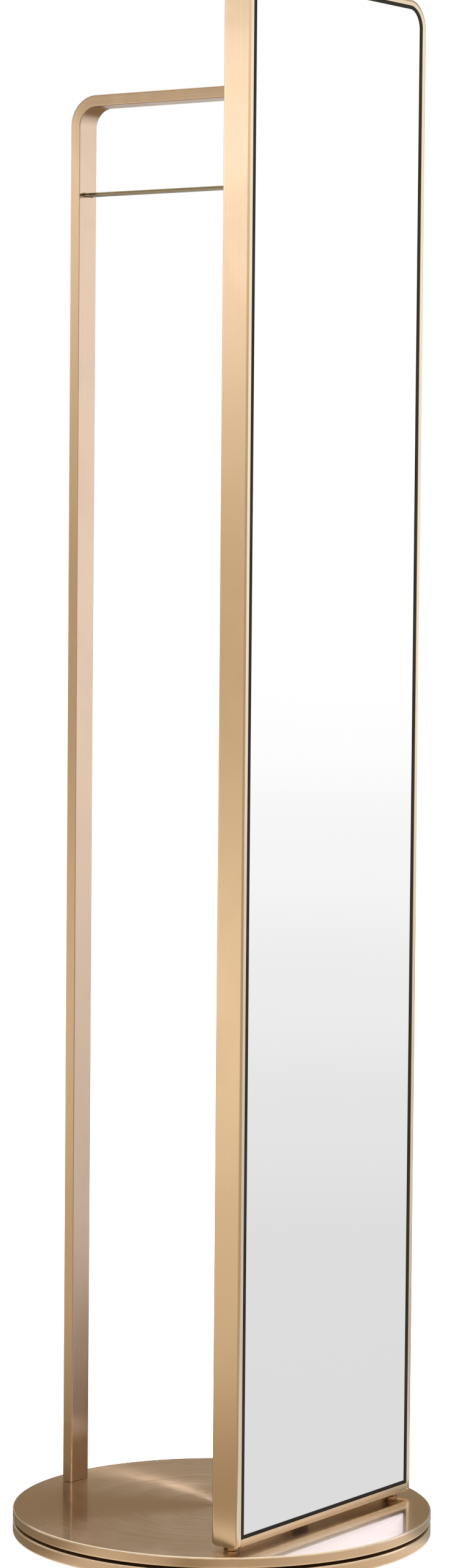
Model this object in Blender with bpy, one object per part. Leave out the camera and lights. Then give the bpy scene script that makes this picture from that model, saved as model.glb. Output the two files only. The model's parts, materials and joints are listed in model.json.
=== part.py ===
"""Revolving coat stand with a full-length mirror.

Metres, +Z up. The origin is on the floor, on the axis that the stand turns about. The mirror
faces -Y, and the hanging frame stands behind it, square to the mirror.
"""

import math

import bmesh
import bpy
from mathutils import Matrix

# Clearances
SEAT_GAP = 0.0003
RUNNING_GAP = 0.001
CUT_MARGIN = 0.002
WELD_DISTANCE = 0.00001

# Base: two discs, one above the other
BASE_RADIUS = 0.250
FLOOR_DISC_THICKNESS = 0.0135
TURNTABLE_THICKNESS = 0.0125
DISC_GAP = 0.0035
DISC_EDGE_RADIUS = 0.0012
GLIDE_HEIGHT = 0.0022
GLIDE_RADIUS = 0.014
GLIDE_MARGIN = 0.026
GLIDE_COUNT = 6
PAN_SHEET = 0.0025
CORE_INSET = 0.0005

# Ring bearing between the discs
BEARING_RECESS = 0.003
BEARING_MARGIN = 0.005
RING_WIDTH = 0.012
RING_HEIGHT = 0.009
RACE_SPACING = 0.003
BALL_RADIUS = 0.0025
BALL_COUNT = 24
CAGE_THICKNESS = 0.002
CAGE_HEIGHT = 0.007
RING_SCREW_RADIUS = 0.002
RING_SCREW_HEAD_RADIUS = 0.0037
RING_SCREW_HEAD_HEIGHT = 0.0019
RING_SCREW_GRIP = 0.004
RING_SCREW_COUNT = 4

# Mirror
MIRROR_WIDTH = 0.365
MIRROR_HEIGHT = 1.7855
MIRROR_DEPTH = 0.034
MIRROR_FRONT = 0.148
MIRROR_LIFT = 0.006
MIRROR_CORNER_RADIUS = 0.034
BAND_THICKNESS = 0.0075
BOTTOM_RAIL_HEIGHT = 0.009
BOTTOM_RAIL_EDGE_RADIUS = 0.004
GLASS_RECESS = 0.0015
GLASS_THICKNESS = 0.004
SEAL_WALL = 0.0015
SEAL_LIP = 0.004
SEAL_LIP_THICKNESS = 0.0009
BOARD_THICKNESS = 0.006
CLEAT_WIDTH = 0.012
CLEAT_THICKNESS = 0.003
CLEAT_END_MARGIN = 0.060
BACK_PANEL_SHEET = 0.0012
CROSS_BAR_HEIGHT = 0.030
CROSS_BAR_THICKNESS = 0.006
CROSS_BAR_LOWEST = 0.250
CROSS_BAR_DROP = 0.220
CROSS_BAR_NAMES = ("lower", "middle", "upper")
PANEL_SCREW_INSET = 0.040
PANEL_SCREW_RADIUS = 0.002
PANEL_SCREW_HEAD_RADIUS = 0.0038
PANEL_SCREW_HEAD_HEIGHT = 0.0018
SPACER_RADIUS = 0.009
SPACER_INSET = 0.016

# Hanging frame behind the mirror
TUBE_WIDTH = 0.034
TUBE_THICKNESS = 0.0135
TUBE_WALL = 0.0015
HANGER_HEIGHT = 1.683
HANGER_EDGE_MARGIN = 0.0227
HANGER_BEND_RADIUS = 0.040
RAIL_DROP = 0.118
RAIL_WIDTH = 0.020
RAIL_THICKNESS = 0.0035
PLUG_HEIGHT = 0.030

# Bolts
BOLT_RADIUS = 0.003
BOLT_HEAD_RADIUS = 0.00525
BOLT_HEAD_HEIGHT = 0.0033
LEG_BOLT_SPACING = 0.016
LEG_BOLT_REACH = 0.020
SPACER_BOLT_REACH = 0.0075

# Edge rounding and facets
FRAME_EDGE_RADIUS = 0.0008
DISC_SEGMENTS = 72
RING_SEGMENTS = 60
FASTENER_SEGMENTS = 12
PAD_SEGMENTS = 16
BEND_STEPS = 8
ROUNDING_STEPS = 2
SMALL_ARC_STEPS = 4
SHARP_ANGLE = math.radians(30)
ROUNDED_ANGLE = math.radians(40)

# Heights worked out from the sizes above
FLOOR_DISC_BOTTOM = GLIDE_HEIGHT + SEAT_GAP
FLOOR_DISC_TOP = FLOOR_DISC_BOTTOM + FLOOR_DISC_THICKNESS
TURNTABLE_BOTTOM = FLOOR_DISC_TOP + DISC_GAP
TURNTABLE_TOP = TURNTABLE_BOTTOM + TURNTABLE_THICKNESS
CORE_BOTTOM = TURNTABLE_BOTTOM + CORE_INSET
CORE_TOP = TURNTABLE_TOP - PAN_SHEET - SEAT_GAP
RECESS_FLOOR = FLOOR_DISC_TOP - BEARING_RECESS
INNER_RING_BOTTOM = RECESS_FLOOR + SEAT_GAP
INNER_RING_TOP = INNER_RING_BOTTOM + RING_HEIGHT
RECESS_CEILING = INNER_RING_TOP + RUNNING_GAP
OUTER_RING_TOP = RECESS_CEILING - SEAT_GAP
OUTER_RING_BOTTOM = OUTER_RING_TOP - RING_HEIGHT
BALL_HEIGHT = (INNER_RING_BOTTOM + OUTER_RING_TOP) / 2
FRAME_BOTTOM = TURNTABLE_TOP + MIRROR_LIFT
FRAME_TOP = FRAME_BOTTOM + MIRROR_HEIGHT
SIGHT_BOTTOM = FRAME_BOTTOM + BOTTOM_RAIL_HEIGHT
LEG_BOTTOM = TURNTABLE_TOP + SEAT_GAP
HANGER_TOP = TURNTABLE_TOP + HANGER_HEIGHT
RAIL_CENTRE = HANGER_TOP - RAIL_DROP

# Depths worked out from the sizes above, front to back
MIRROR_BACK = MIRROR_DEPTH - MIRROR_FRONT
GLASS_FRONT = GLASS_RECESS - MIRROR_FRONT
GLASS_BACK = GLASS_FRONT + GLASS_THICKNESS
SEAL_LIP_BACK = GLASS_FRONT - SEAT_GAP
SEAL_FRONT = SEAL_LIP_BACK - SEAL_LIP_THICKNESS
BOARD_FRONT = GLASS_BACK + SEAT_GAP
BOARD_BACK = BOARD_FRONT + BOARD_THICKNESS
CLEAT_FRONT = BOARD_BACK + SEAT_GAP
PANEL_FRONT = MIRROR_BACK - BACK_PANEL_SHEET
CROSS_BAR_BACK = PANEL_FRONT - SEAT_GAP
CROSS_BAR_FRONT = CROSS_BAR_BACK - CROSS_BAR_THICKNESS
HANGER_FRONT = MIRROR_BACK + SEAT_GAP
HANGER_BACK = BASE_RADIUS - HANGER_EDGE_MARGIN
FRONT_LEG_CENTRE = HANGER_FRONT + TUBE_THICKNESS / 2
REAR_LEG_CENTRE = HANGER_BACK - TUBE_THICKNESS / 2

# Bearing radii: the inner ring clears the front leg's bolts
FRONT_BOLT_REACH = math.hypot(FRONT_LEG_CENTRE, LEG_BOLT_SPACING / 2) + BOLT_HEAD_RADIUS
INNER_RING_BORE = FRONT_BOLT_REACH + BEARING_MARGIN
INNER_RING_EDGE = INNER_RING_BORE + RING_WIDTH
OUTER_RING_BORE = INNER_RING_EDGE + RACE_SPACING
OUTER_RING_EDGE = OUTER_RING_BORE + RING_WIDTH
BALL_CIRCLE = INNER_RING_EDGE + RACE_SPACING / 2
GROOVE_RADIUS = BALL_RADIUS + SEAT_GAP

EIGHTH_TURN = math.pi / 4
QUARTER_TURN = math.pi / 2
HALF_TURN = math.pi
FULL_TURN = 2 * math.pi


def clear_scene():
    """Remove every object that the file opened with."""
    for old in list(bpy.data.objects):
        bpy.data.objects.remove(old)


def make_finish(name, colour, roughness, metallic):
    """A plain surface finish."""
    finish = bpy.data.materials.new(name)
    finish.use_nodes = True
    shader = finish.node_tree.nodes["Principled BSDF"]
    shader.inputs["Base Color"].default_value = (*colour, 1.0)
    shader.inputs["Roughness"].default_value = roughness
    shader.inputs["Metallic"].default_value = metallic
    finish.diffuse_color = (*colour, 1.0)
    return finish


def make_mesh(name, shape, finish=None):
    """Turn a bmesh into a closed, outward-facing mesh."""
    bmesh.ops.remove_doubles(shape, verts=shape.verts, dist=WELD_DISTANCE)
    bmesh.ops.recalc_face_normals(shape, faces=shape.faces)
    mesh = bpy.data.meshes.new(name)
    shape.to_mesh(mesh)
    shape.free()
    mesh.shade_smooth()
    mesh.set_sharp_from_angle(angle=SHARP_ANGLE)
    if finish:
        mesh.materials.append(finish)
    return mesh


def place(name, mesh, parent=None, location=(0, 0, 0), rotation=(0, 0, 0)):
    """Put a mesh into the scene as a named piece."""
    piece = bpy.data.objects.new(name, mesh)
    bpy.context.scene.collection.objects.link(piece)
    piece.parent = parent
    piece.location = location
    piece.rotation_euler = rotation
    return piece


def make_axis(name, height):
    """An empty on the turning axis, which carries the pieces that turn with it."""
    axis = bpy.data.objects.new(name, None)
    bpy.context.scene.collection.objects.link(axis)
    axis.location = (0, 0, height)
    return axis


def turned(profile, segments):
    """Spin a profile of (radius, height) points a full turn about Z."""
    shape = bmesh.new()
    points = [shape.verts.new((radius, 0, height)) for radius, height in profile]
    edges = []
    for start, end in zip(points, points[1:] + points[:1]):
        if start.co.x > 0 or end.co.x > 0:
            edges.append(shape.edges.new((start, end)))
    bmesh.ops.spin(
        shape, geom=points + edges, axis=(0, 0, 1), angle=FULL_TURN, steps=segments, use_merge=True
    )
    return shape


def extruded(outline, depth):
    """Raise a flat outline of (x, y) points by depth along Z."""
    shape = bmesh.new()
    face = shape.faces.new([shape.verts.new((x, y, 0)) for x, y in outline])
    raised = bmesh.ops.extrude_face_region(shape, geom=[face])["geom"]
    top = [item for item in raised if isinstance(item, bmesh.types.BMVert)]
    bmesh.ops.translate(shape, verts=top, vec=(0, 0, depth))
    return shape


def box(width, height, depth):
    """A block standing on z = 0, centred on the axis."""
    across, along = width / 2, height / 2
    return extruded([(-across, -along), (across, -along), (across, along), (-across, along)], depth)


def section_ring(outline_at, section):
    """Carry a closed section of (inset, height) points round an outline that takes an inset."""
    shape = bmesh.new()
    loops = []
    for inset, height in section:
        loops.append([shape.verts.new((x, y, height)) for x, y in outline_at(inset)])
    for first, second in zip(loops, loops[1:] + loops[:1]):
        next_first, next_second = first[1:] + first[:1], second[1:] + second[:1]
        for corners in zip(first, next_first, next_second, second):
            shape.faces.new(corners)
    return shape


def arc(centre, radius, start, end, steps):
    """Points on an arc, both ends included."""
    for step in range(steps + 1):
        angle = start + (end - start) * step / steps
        yield centre[0] + radius * math.cos(angle), centre[1] + radius * math.sin(angle)


def arch(low, high, bottom, top, radius):
    """A path up from (low, bottom), over two round corners and down to (high, bottom)."""
    spring = top - radius
    path = [(low, bottom)]
    path += arc((low + radius, spring), radius, HALF_TURN, QUARTER_TURN, BEND_STEPS)
    path += arc((high - radius, spring), radius, QUARTER_TURN, 0, BEND_STEPS)
    path.append((high, bottom))
    return path


def band(low, high, bottom, top, radius, thickness):
    """The outline of a flat bar bent into an arch."""
    outer = arch(low, high, bottom, top, radius)
    inner = arch(low + thickness, high - thickness, bottom, top - thickness, radius - thickness)
    return outer + inner[::-1]


def sight_outline(inset):
    """The mirror opening inside the frame band, drawn in by inset."""
    reach = MIRROR_WIDTH / 2 - BAND_THICKNESS - inset
    return arch(
        -reach, reach, SIGHT_BOTTOM + inset, FRAME_TOP - BAND_THICKNESS - inset,
        MIRROR_CORNER_RADIUS - BAND_THICKNESS - inset,
    )


def round_disc_profile(radius, bottom, top):
    """Outer side of a disc from top to bottom, with both edges rounded."""
    edge = DISC_EDGE_RADIUS
    side = list(arc((radius - edge, top - edge), edge, QUARTER_TURN, 0, ROUNDING_STEPS))
    side += arc((radius - edge, bottom + edge), edge, 0, -QUARTER_TURN, ROUNDING_STEPS)
    return side


def race_groove(middle):
    """Groove for the balls in a bearing ring: an arc about the angle in its middle."""
    half_chord = math.acos(RACE_SPACING / 2 / GROOVE_RADIUS)
    return arc(
        (BALL_CIRCLE, BALL_HEIGHT), GROOVE_RADIUS, middle - half_chord, middle + half_chord, SMALL_ARC_STEPS
    )


def bottom_rail_outline():
    """Section of the mirror's bottom rail from front to back, with its lower edges well rounded."""
    half, radius = MIRROR_DEPTH / 2, BOTTOM_RAIL_EDGE_RADIUS
    outline = [(half, BOTTOM_RAIL_HEIGHT), (-half, BOTTOM_RAIL_HEIGHT)]
    outline += arc((radius - half, radius), radius, HALF_TURN, HALF_TURN + QUARTER_TURN, SMALL_ARC_STEPS)
    outline += arc((half - radius, radius), radius, -QUARTER_TURN, 0, SMALL_ARC_STEPS)
    return outline


def bolt_profile(radius, head_radius, head_height, length, slack=0.0):
    """A round-headed bolt: head below z = 0, shank above it."""
    return [
        (0, length + slack),
        (radius + slack, length + slack),
        (radius + slack, slack),
        (head_radius + slack, slack),
        (head_radius + slack, -head_height - slack),
        (0, -head_height - slack),
    ]


def countersunk_profile(length, slack=0.0, lift=0.0):
    """A countersunk screw: head flush at z = 0, shank below it."""
    return [
        (0, lift),
        (RING_SCREW_HEAD_RADIUS + slack, lift),
        (RING_SCREW_HEAD_RADIUS + slack, 0),
        (RING_SCREW_RADIUS + slack, -RING_SCREW_HEAD_HEIGHT),
        (RING_SCREW_RADIUS + slack, -length - slack),
        (0, -length - slack),
    ]


def circle_places(radius, count, height, turn=0.0):
    """Places spaced evenly round the axis."""
    for step in range(count):
        angle = turn + FULL_TURN * step / count
        yield radius * math.cos(angle), radius * math.sin(angle), height


def gather(make_shape, frames):
    """One bmesh that holds a copy of a shape in each frame."""
    gathered = bmesh.new()
    for frame in frames:
        shape = make_shape()
        shape.transform(frame)
        part = bpy.data.meshes.new("part")
        shape.to_mesh(part)
        shape.free()
        gathered.from_mesh(part)
        bpy.data.meshes.remove(part)
    return gathered


def combine(target, name, shape, operation="DIFFERENCE", rotation=(0, 0, 0), location=(0, 0, 0)):
    """Cut a shape out of a piece, or join it on, in the place where it stands."""
    tool = place(name, make_mesh(name, shape), location=location, rotation=rotation)
    tool.hide_render = True
    tool.display_type = "WIRE"
    change = target.modifiers.new(name, "BOOLEAN")
    change.operation = operation
    change.object = tool


def round_edges(piece, radius):
    """Round a piece's sharp edges a little, as its bent or turned metal has them."""
    rounding = piece.modifiers.new("edges", "BEVEL")
    rounding.width = radius
    rounding.segments = ROUNDING_STEPS
    rounding.limit_method = "ANGLE"
    rounding.angle_limit = ROUNDED_ANGLE


# Rotation that stands a drawing up facing the mirror's way, and one that turns it side on
FACING = (QUARTER_TURN, 0, 0)
SIDE_ON = (QUARTER_TURN, 0, QUARTER_TURN)


def leg_bolt_places():
    """Names and places of the bolts that hold the two legs."""
    for leg, depth in (("front", FRONT_LEG_CENTRE), ("rear", REAR_LEG_CENTRE)):
        for side, sign in (("left", -1), ("right", 1)):
            yield f"{leg}_{side}", (sign * LEG_BOLT_SPACING / 2, depth)


def spacer_places():
    """Names and places of the spacers under the mirror frame."""
    for side, sign in (("left", -1), ("right", 1)):
        yield side, (sign * (MIRROR_WIDTH / 2 - SPACER_INSET), MIRROR_BACK - MIRROR_DEPTH / 2)


def cross_bar_heights():
    """Names and centre heights of the bars across the mirror frame."""
    lowest = FRAME_BOTTOM + CROSS_BAR_LOWEST
    highest = HANGER_TOP - CROSS_BAR_DROP
    for step, name in enumerate(CROSS_BAR_NAMES):
        yield name, lowest + (highest - lowest) * step / (len(CROSS_BAR_NAMES) - 1)


def panel_screw_places():
    """Places of the screws that hold the back panel to the cross bars."""
    reach = MIRROR_WIDTH / 2 - PANEL_SCREW_INSET
    for _, height in cross_bar_heights():
        yield -reach, height
        yield reach, height


def build_fixed_base(brass, rubber, alloy, steel):
    """The floor disc, its pads and the fixed ring of the bearing."""
    recess_radius = OUTER_RING_EDGE + RUNNING_GAP
    profile = [(0, RECESS_FLOOR), (recess_radius, RECESS_FLOOR), (recess_radius, FLOOR_DISC_TOP)]
    profile += round_disc_profile(BASE_RADIUS, FLOOR_DISC_BOTTOM, FLOOR_DISC_TOP)
    profile.append((0, FLOOR_DISC_BOTTOM))
    floor_disc = place("floor_disc", make_mesh("floor_disc", turned(profile, DISC_SEGMENTS), brass))

    pad_profile = [(0, GLIDE_HEIGHT), (GLIDE_RADIUS, GLIDE_HEIGHT), (GLIDE_RADIUS, 0), (0, 0)]
    pad = make_mesh("glide_pad", turned(pad_profile, PAD_SEGMENTS), rubber)
    pad_places = circle_places(BASE_RADIUS - GLIDE_MARGIN, GLIDE_COUNT, 0)
    for number, spot in enumerate(pad_places, start=1):
        place(f"glide_pad_{number}", pad, location=spot)

    profile = [(INNER_RING_BORE, INNER_RING_TOP), (INNER_RING_EDGE, INNER_RING_TOP)]
    profile += race_groove(HALF_TURN)
    profile += [(INNER_RING_EDGE, INNER_RING_BOTTOM), (INNER_RING_BORE, INNER_RING_BOTTOM)]
    ring = place(
        "bearing_inner_ring", make_mesh("bearing_inner_ring", turned(profile, RING_SEGMENTS), alloy)
    )

    screw_circle = (INNER_RING_BORE + INNER_RING_EDGE) / 2
    length = INNER_RING_TOP - RECESS_FLOOR + RING_SCREW_GRIP
    spots = list(circle_places(screw_circle, RING_SCREW_COUNT, INNER_RING_TOP, EIGHTH_TURN))
    frames = [Matrix.Translation(spot) for spot in spots]
    for target in (ring, floor_disc):
        holes = gather(
            lambda: turned(countersunk_profile(length, SEAT_GAP, CUT_MARGIN), FASTENER_SEGMENTS), frames
        )
        combine(target, f"{target.name}_screw_holes", holes)
    screw = make_mesh("ring_screw", turned(countersunk_profile(length), FASTENER_SEGMENTS), steel)
    for number, spot in enumerate(spots, start=1):
        place(f"inner_ring_screw_{number}", screw, location=spot)


def build_ball_cage(steel):
    """The balls and their cage, one piece that rolls round between the rings."""
    axis = make_axis("ball_cage_axis", BALL_HEIGHT)
    inner = BALL_CIRCLE - CAGE_THICKNESS / 2
    outer = BALL_CIRCLE + CAGE_THICKNESS / 2
    half = CAGE_HEIGHT / 2
    profile = [(inner, half), (outer, half), (outer, -half), (inner, -half)]
    cage = place("ball_cage", make_mesh("ball_cage", turned(profile, RING_SEGMENTS), steel), axis)

    def ball():
        shape = bmesh.new()
        bmesh.ops.create_icosphere(shape, subdivisions=1, radius=BALL_RADIUS)
        return shape

    half_pitch = HALF_TURN / RING_SEGMENTS
    frames = []
    for step in range(BALL_COUNT):
        turn = Matrix.Rotation(half_pitch + FULL_TURN * step / BALL_COUNT, 4, "Z")
        frames.append(turn @ Matrix.Translation((BALL_CIRCLE, 0, 0)))
    combine(cage, "balls", gather(ball, frames), "UNION", location=axis.location)


def build_turntable(axis, brass, board, alloy, steel):
    """The turning disc with its core board, and the bearing ring under it."""
    profile = [(OUTER_RING_EDGE, OUTER_RING_TOP), (OUTER_RING_EDGE, OUTER_RING_BOTTOM)]
    profile += [(OUTER_RING_BORE, OUTER_RING_BOTTOM), *race_groove(0), (OUTER_RING_BORE, OUTER_RING_TOP)]
    ring = place(
        "bearing_outer_ring", make_mesh("bearing_outer_ring", turned(profile, RING_SEGMENTS), alloy), axis
    )

    pocket_inner = INNER_RING_BORE - RUNNING_GAP
    pocket_outer = OUTER_RING_EDGE + SEAT_GAP
    rim = BASE_RADIUS - PAN_SHEET - SEAT_GAP
    profile = [(0, CORE_TOP), (rim, CORE_TOP), (rim, CORE_BOTTOM), (pocket_outer, CORE_BOTTOM)]
    profile += [(pocket_outer, RECESS_CEILING), (pocket_inner, RECESS_CEILING)]
    profile += [(pocket_inner, CORE_BOTTOM), (0, CORE_BOTTOM)]
    core = place("turntable_core", make_mesh("turntable_core", turned(profile, DISC_SEGMENTS), board), axis)

    wall = BASE_RADIUS - PAN_SHEET
    ceiling = TURNTABLE_TOP - PAN_SHEET
    profile = [(0, TURNTABLE_TOP)]
    profile += round_disc_profile(BASE_RADIUS, TURNTABLE_BOTTOM, TURNTABLE_TOP)
    profile += [(wall, TURNTABLE_BOTTOM), (wall, ceiling), (0, ceiling)]
    pan = place("turntable_pan", make_mesh("turntable_pan", turned(profile, DISC_SEGMENTS), brass), axis)

    screw_circle = (OUTER_RING_BORE + OUTER_RING_EDGE) / 2
    length = RECESS_CEILING - OUTER_RING_BOTTOM + RING_SCREW_GRIP
    upside_down = Matrix.Rotation(HALF_TURN, 4, "X")
    spots = list(circle_places(screw_circle, RING_SCREW_COUNT, OUTER_RING_BOTTOM))
    frames = [Matrix.Translation(spot) @ upside_down for spot in spots]
    for target in (ring, core):
        holes = gather(
            lambda: turned(countersunk_profile(length, SEAT_GAP, CUT_MARGIN), FASTENER_SEGMENTS), frames
        )
        combine(target, f"{target.name}_screw_holes", holes)
    screw = make_mesh("outer_ring_screw", turned(countersunk_profile(length), FASTENER_SEGMENTS), steel)
    for number, spot in enumerate(spots, start=1):
        place(f"outer_ring_screw_{number}", screw, axis, spot, (HALF_TURN, 0, 0))

    head_top = CORE_BOTTOM + SEAT_GAP + BOLT_HEAD_HEIGHT
    through = TURNTABLE_TOP - head_top + CUT_MARGIN
    profile = bolt_profile(BOLT_RADIUS, BOLT_HEAD_RADIUS, BOLT_HEAD_HEIGHT + CUT_MARGIN, through, SEAT_GAP)
    spots = [spot for _, spot in leg_bolt_places()] + [spot for _, spot in spacer_places()]
    frames = [Matrix.Translation((x, y, head_top)) for x, y in spots]
    combine(core, "core_bolt_holes", gather(lambda: turned(profile, FASTENER_SEGMENTS), frames))
    shank = [(0, through), (BOLT_RADIUS + SEAT_GAP, through), (BOLT_RADIUS + SEAT_GAP, 0), (0, 0)]
    combine(pan, "pan_bolt_holes", gather(lambda: turned(shank, FASTENER_SEGMENTS), frames))

    bolts = (
        ("leg_bolt", leg_bolt_places(), LEG_BOTTOM + LEG_BOLT_REACH),
        ("spacer_bolt", spacer_places(), FRAME_BOTTOM + SPACER_BOLT_REACH),
    )
    for stem, places, top in bolts:
        profile = bolt_profile(BOLT_RADIUS, BOLT_HEAD_RADIUS, BOLT_HEAD_HEIGHT, top - head_top)
        bolt = make_mesh(stem, turned(profile, FASTENER_SEGMENTS), steel)
        for name, (x, y) in places:
            place(f"{stem}_{name}", bolt, axis, (x, y, head_top))


def build_mirror(axis, brass, black, silver, board, steel):
    """The mirror in its frame, with its backing, on two spacers."""
    half_width = MIRROR_WIDTH / 2
    outline = band(-half_width, half_width, FRAME_BOTTOM, FRAME_TOP, MIRROR_CORNER_RADIUS, BAND_THICKNESS)
    mesh = make_mesh("mirror_frame", extruded(outline, MIRROR_DEPTH), brass)
    frame = place("mirror_frame", mesh, axis, (0, MIRROR_BACK, 0), FACING)
    round_edges(frame, FRAME_EDGE_RADIUS)

    inner_width = 2 * (half_width - BAND_THICKNESS - SEAT_GAP)
    mesh = make_mesh("mirror_bottom_rail", extruded(bottom_rail_outline(), inner_width), brass)
    spot = (-inner_width / 2, MIRROR_BACK - MIRROR_DEPTH / 2, FRAME_BOTTOM)
    rail = place("mirror_bottom_rail", mesh, axis, spot, SIDE_ON)
    round_edges(rail, FRAME_EDGE_RADIUS)

    wall = SEAT_GAP + SEAL_WALL
    lip = SEAT_GAP + SEAL_LIP
    section = [(SEAT_GAP, -SEAL_FRONT), (lip, -SEAL_FRONT), (lip, -SEAL_LIP_BACK)]
    section += [(wall, -SEAL_LIP_BACK), (wall, -GLASS_BACK), (SEAT_GAP, -GLASS_BACK)]
    place("mirror_seal", make_mesh("mirror_seal", section_ring(sight_outline, section), black), axis,
          rotation=FACING)

    sheets = (
        ("mirror_glass", wall + SEAT_GAP, GLASS_THICKNESS, GLASS_BACK, silver),
        ("backing_board", SEAT_GAP, BOARD_THICKNESS, BOARD_BACK, board),
        ("back_panel", SEAT_GAP, BACK_PANEL_SHEET, MIRROR_BACK, brass),
    )
    pieces = {}
    for name, inset, thickness, back, finish in sheets:
        mesh = make_mesh(name, extruded(sight_outline(inset), thickness), finish)
        pieces[name] = place(name, mesh, axis, (0, back, 0), FACING)

    cleat_bottom = SIGHT_BOTTOM + CLEAT_END_MARGIN
    cleat_length = FRAME_TOP - CLEAT_END_MARGIN - cleat_bottom
    cleat = make_mesh("board_cleat", box(CLEAT_WIDTH, CLEAT_THICKNESS, cleat_length), steel)
    for side, sign in (("left", -1), ("right", 1)):
        x = sign * (inner_width / 2 - CLEAT_WIDTH / 2)
        place(f"board_cleat_{side}", cleat, axis, (x, CLEAT_FRONT + CLEAT_THICKNESS / 2, cleat_bottom))

    for name, height in cross_bar_heights():
        mesh = make_mesh("cross_bar", box(inner_width, CROSS_BAR_THICKNESS, CROSS_BAR_HEIGHT), steel)
        spot = (0, CROSS_BAR_BACK - CROSS_BAR_THICKNESS / 2, height - CROSS_BAR_HEIGHT / 2)
        pieces[name] = place(f"cross_bar_{name}", mesh, axis, spot)

    build_panel_screws(axis, pieces, steel)
    build_tie_bolts(axis, pieces, steel)

    bore = BOLT_RADIUS + SEAT_GAP
    top = MIRROR_LIFT - SEAT_GAP
    profile = [(bore, top), (SPACER_RADIUS, top), (SPACER_RADIUS, SEAT_GAP), (bore, SEAT_GAP)]
    spacer = make_mesh("mirror_spacer", turned(profile, PAD_SEGMENTS), brass)
    for name, (x, y) in spacer_places():
        place(f"mirror_spacer_{name}", spacer, axis, (x, y, TURNTABLE_TOP))
    hole = [(0, SPACER_BOLT_REACH + SEAT_GAP), (bore, SPACER_BOLT_REACH + SEAT_GAP)]
    hole += [(bore, -CUT_MARGIN), (0, -CUT_MARGIN)]
    frames = [Matrix.Translation((x, y, FRAME_BOTTOM)) for _, (x, y) in spacer_places()]
    combine(rail, "rail_bolt_holes", gather(lambda: turned(hole, FASTENER_SEGMENTS), frames))


def pointing_forward(x, depth, height):
    """A frame whose Z axis points to the front, for fasteners driven in from behind."""
    return Matrix.Translation((x, depth, height)) @ Matrix.Rotation(QUARTER_TURN, 4, "X")


def build_panel_screws(axis, pieces, steel):
    """Screws through the back panel into the cross bars."""
    seat = MIRROR_BACK + SEAT_GAP
    length = seat - CROSS_BAR_FRONT - SEAT_GAP
    profile = bolt_profile(PANEL_SCREW_RADIUS, PANEL_SCREW_HEAD_RADIUS, PANEL_SCREW_HEAD_HEIGHT, length)
    screw = make_mesh("panel_screw", turned(profile, FASTENER_SEGMENTS), steel)
    for number, (x, height) in enumerate(panel_screw_places(), start=1):
        place(f"panel_screw_{number}", screw, axis, (x, seat, height), FACING)
    cut_rear_holes(pieces, "screw_holes", PANEL_SCREW_RADIUS, list(panel_screw_places()))


def build_tie_bolts(axis, pieces, steel):
    """Bolts from the front leg through the back panel into the cross bars."""
    seat = HANGER_FRONT + TUBE_THICKNESS + SEAT_GAP
    length = seat - CROSS_BAR_FRONT - SEAT_GAP
    profile = bolt_profile(BOLT_RADIUS, BOLT_HEAD_RADIUS, BOLT_HEAD_HEIGHT, length)
    bolt = make_mesh("tie_bolt", turned(profile, FASTENER_SEGMENTS), steel)
    for name, height in cross_bar_heights():
        place(f"tie_bolt_{name}", bolt, axis, (0, seat, height), FACING)
    cut_rear_holes(pieces, "tie_holes", BOLT_RADIUS, [(0, height) for _, height in cross_bar_heights()])


def cut_rear_holes(pieces, name, radius, spots):
    """Holes through the back panel and the cross bars at (x, height) spots."""
    start = MIRROR_BACK + CUT_MARGIN
    length = start - CROSS_BAR_FRONT + CUT_MARGIN
    wide = radius + SEAT_GAP
    profile = [(0, length), (wide, length), (wide, 0), (0, 0)]
    frames = [pointing_forward(x, start, height) for x, height in spots]
    for target in ("back_panel", *CROSS_BAR_NAMES):
        holes = gather(lambda: turned(profile, FASTENER_SEGMENTS), frames)
        combine(pieces[target], f"{target}_{name}", holes)


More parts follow.
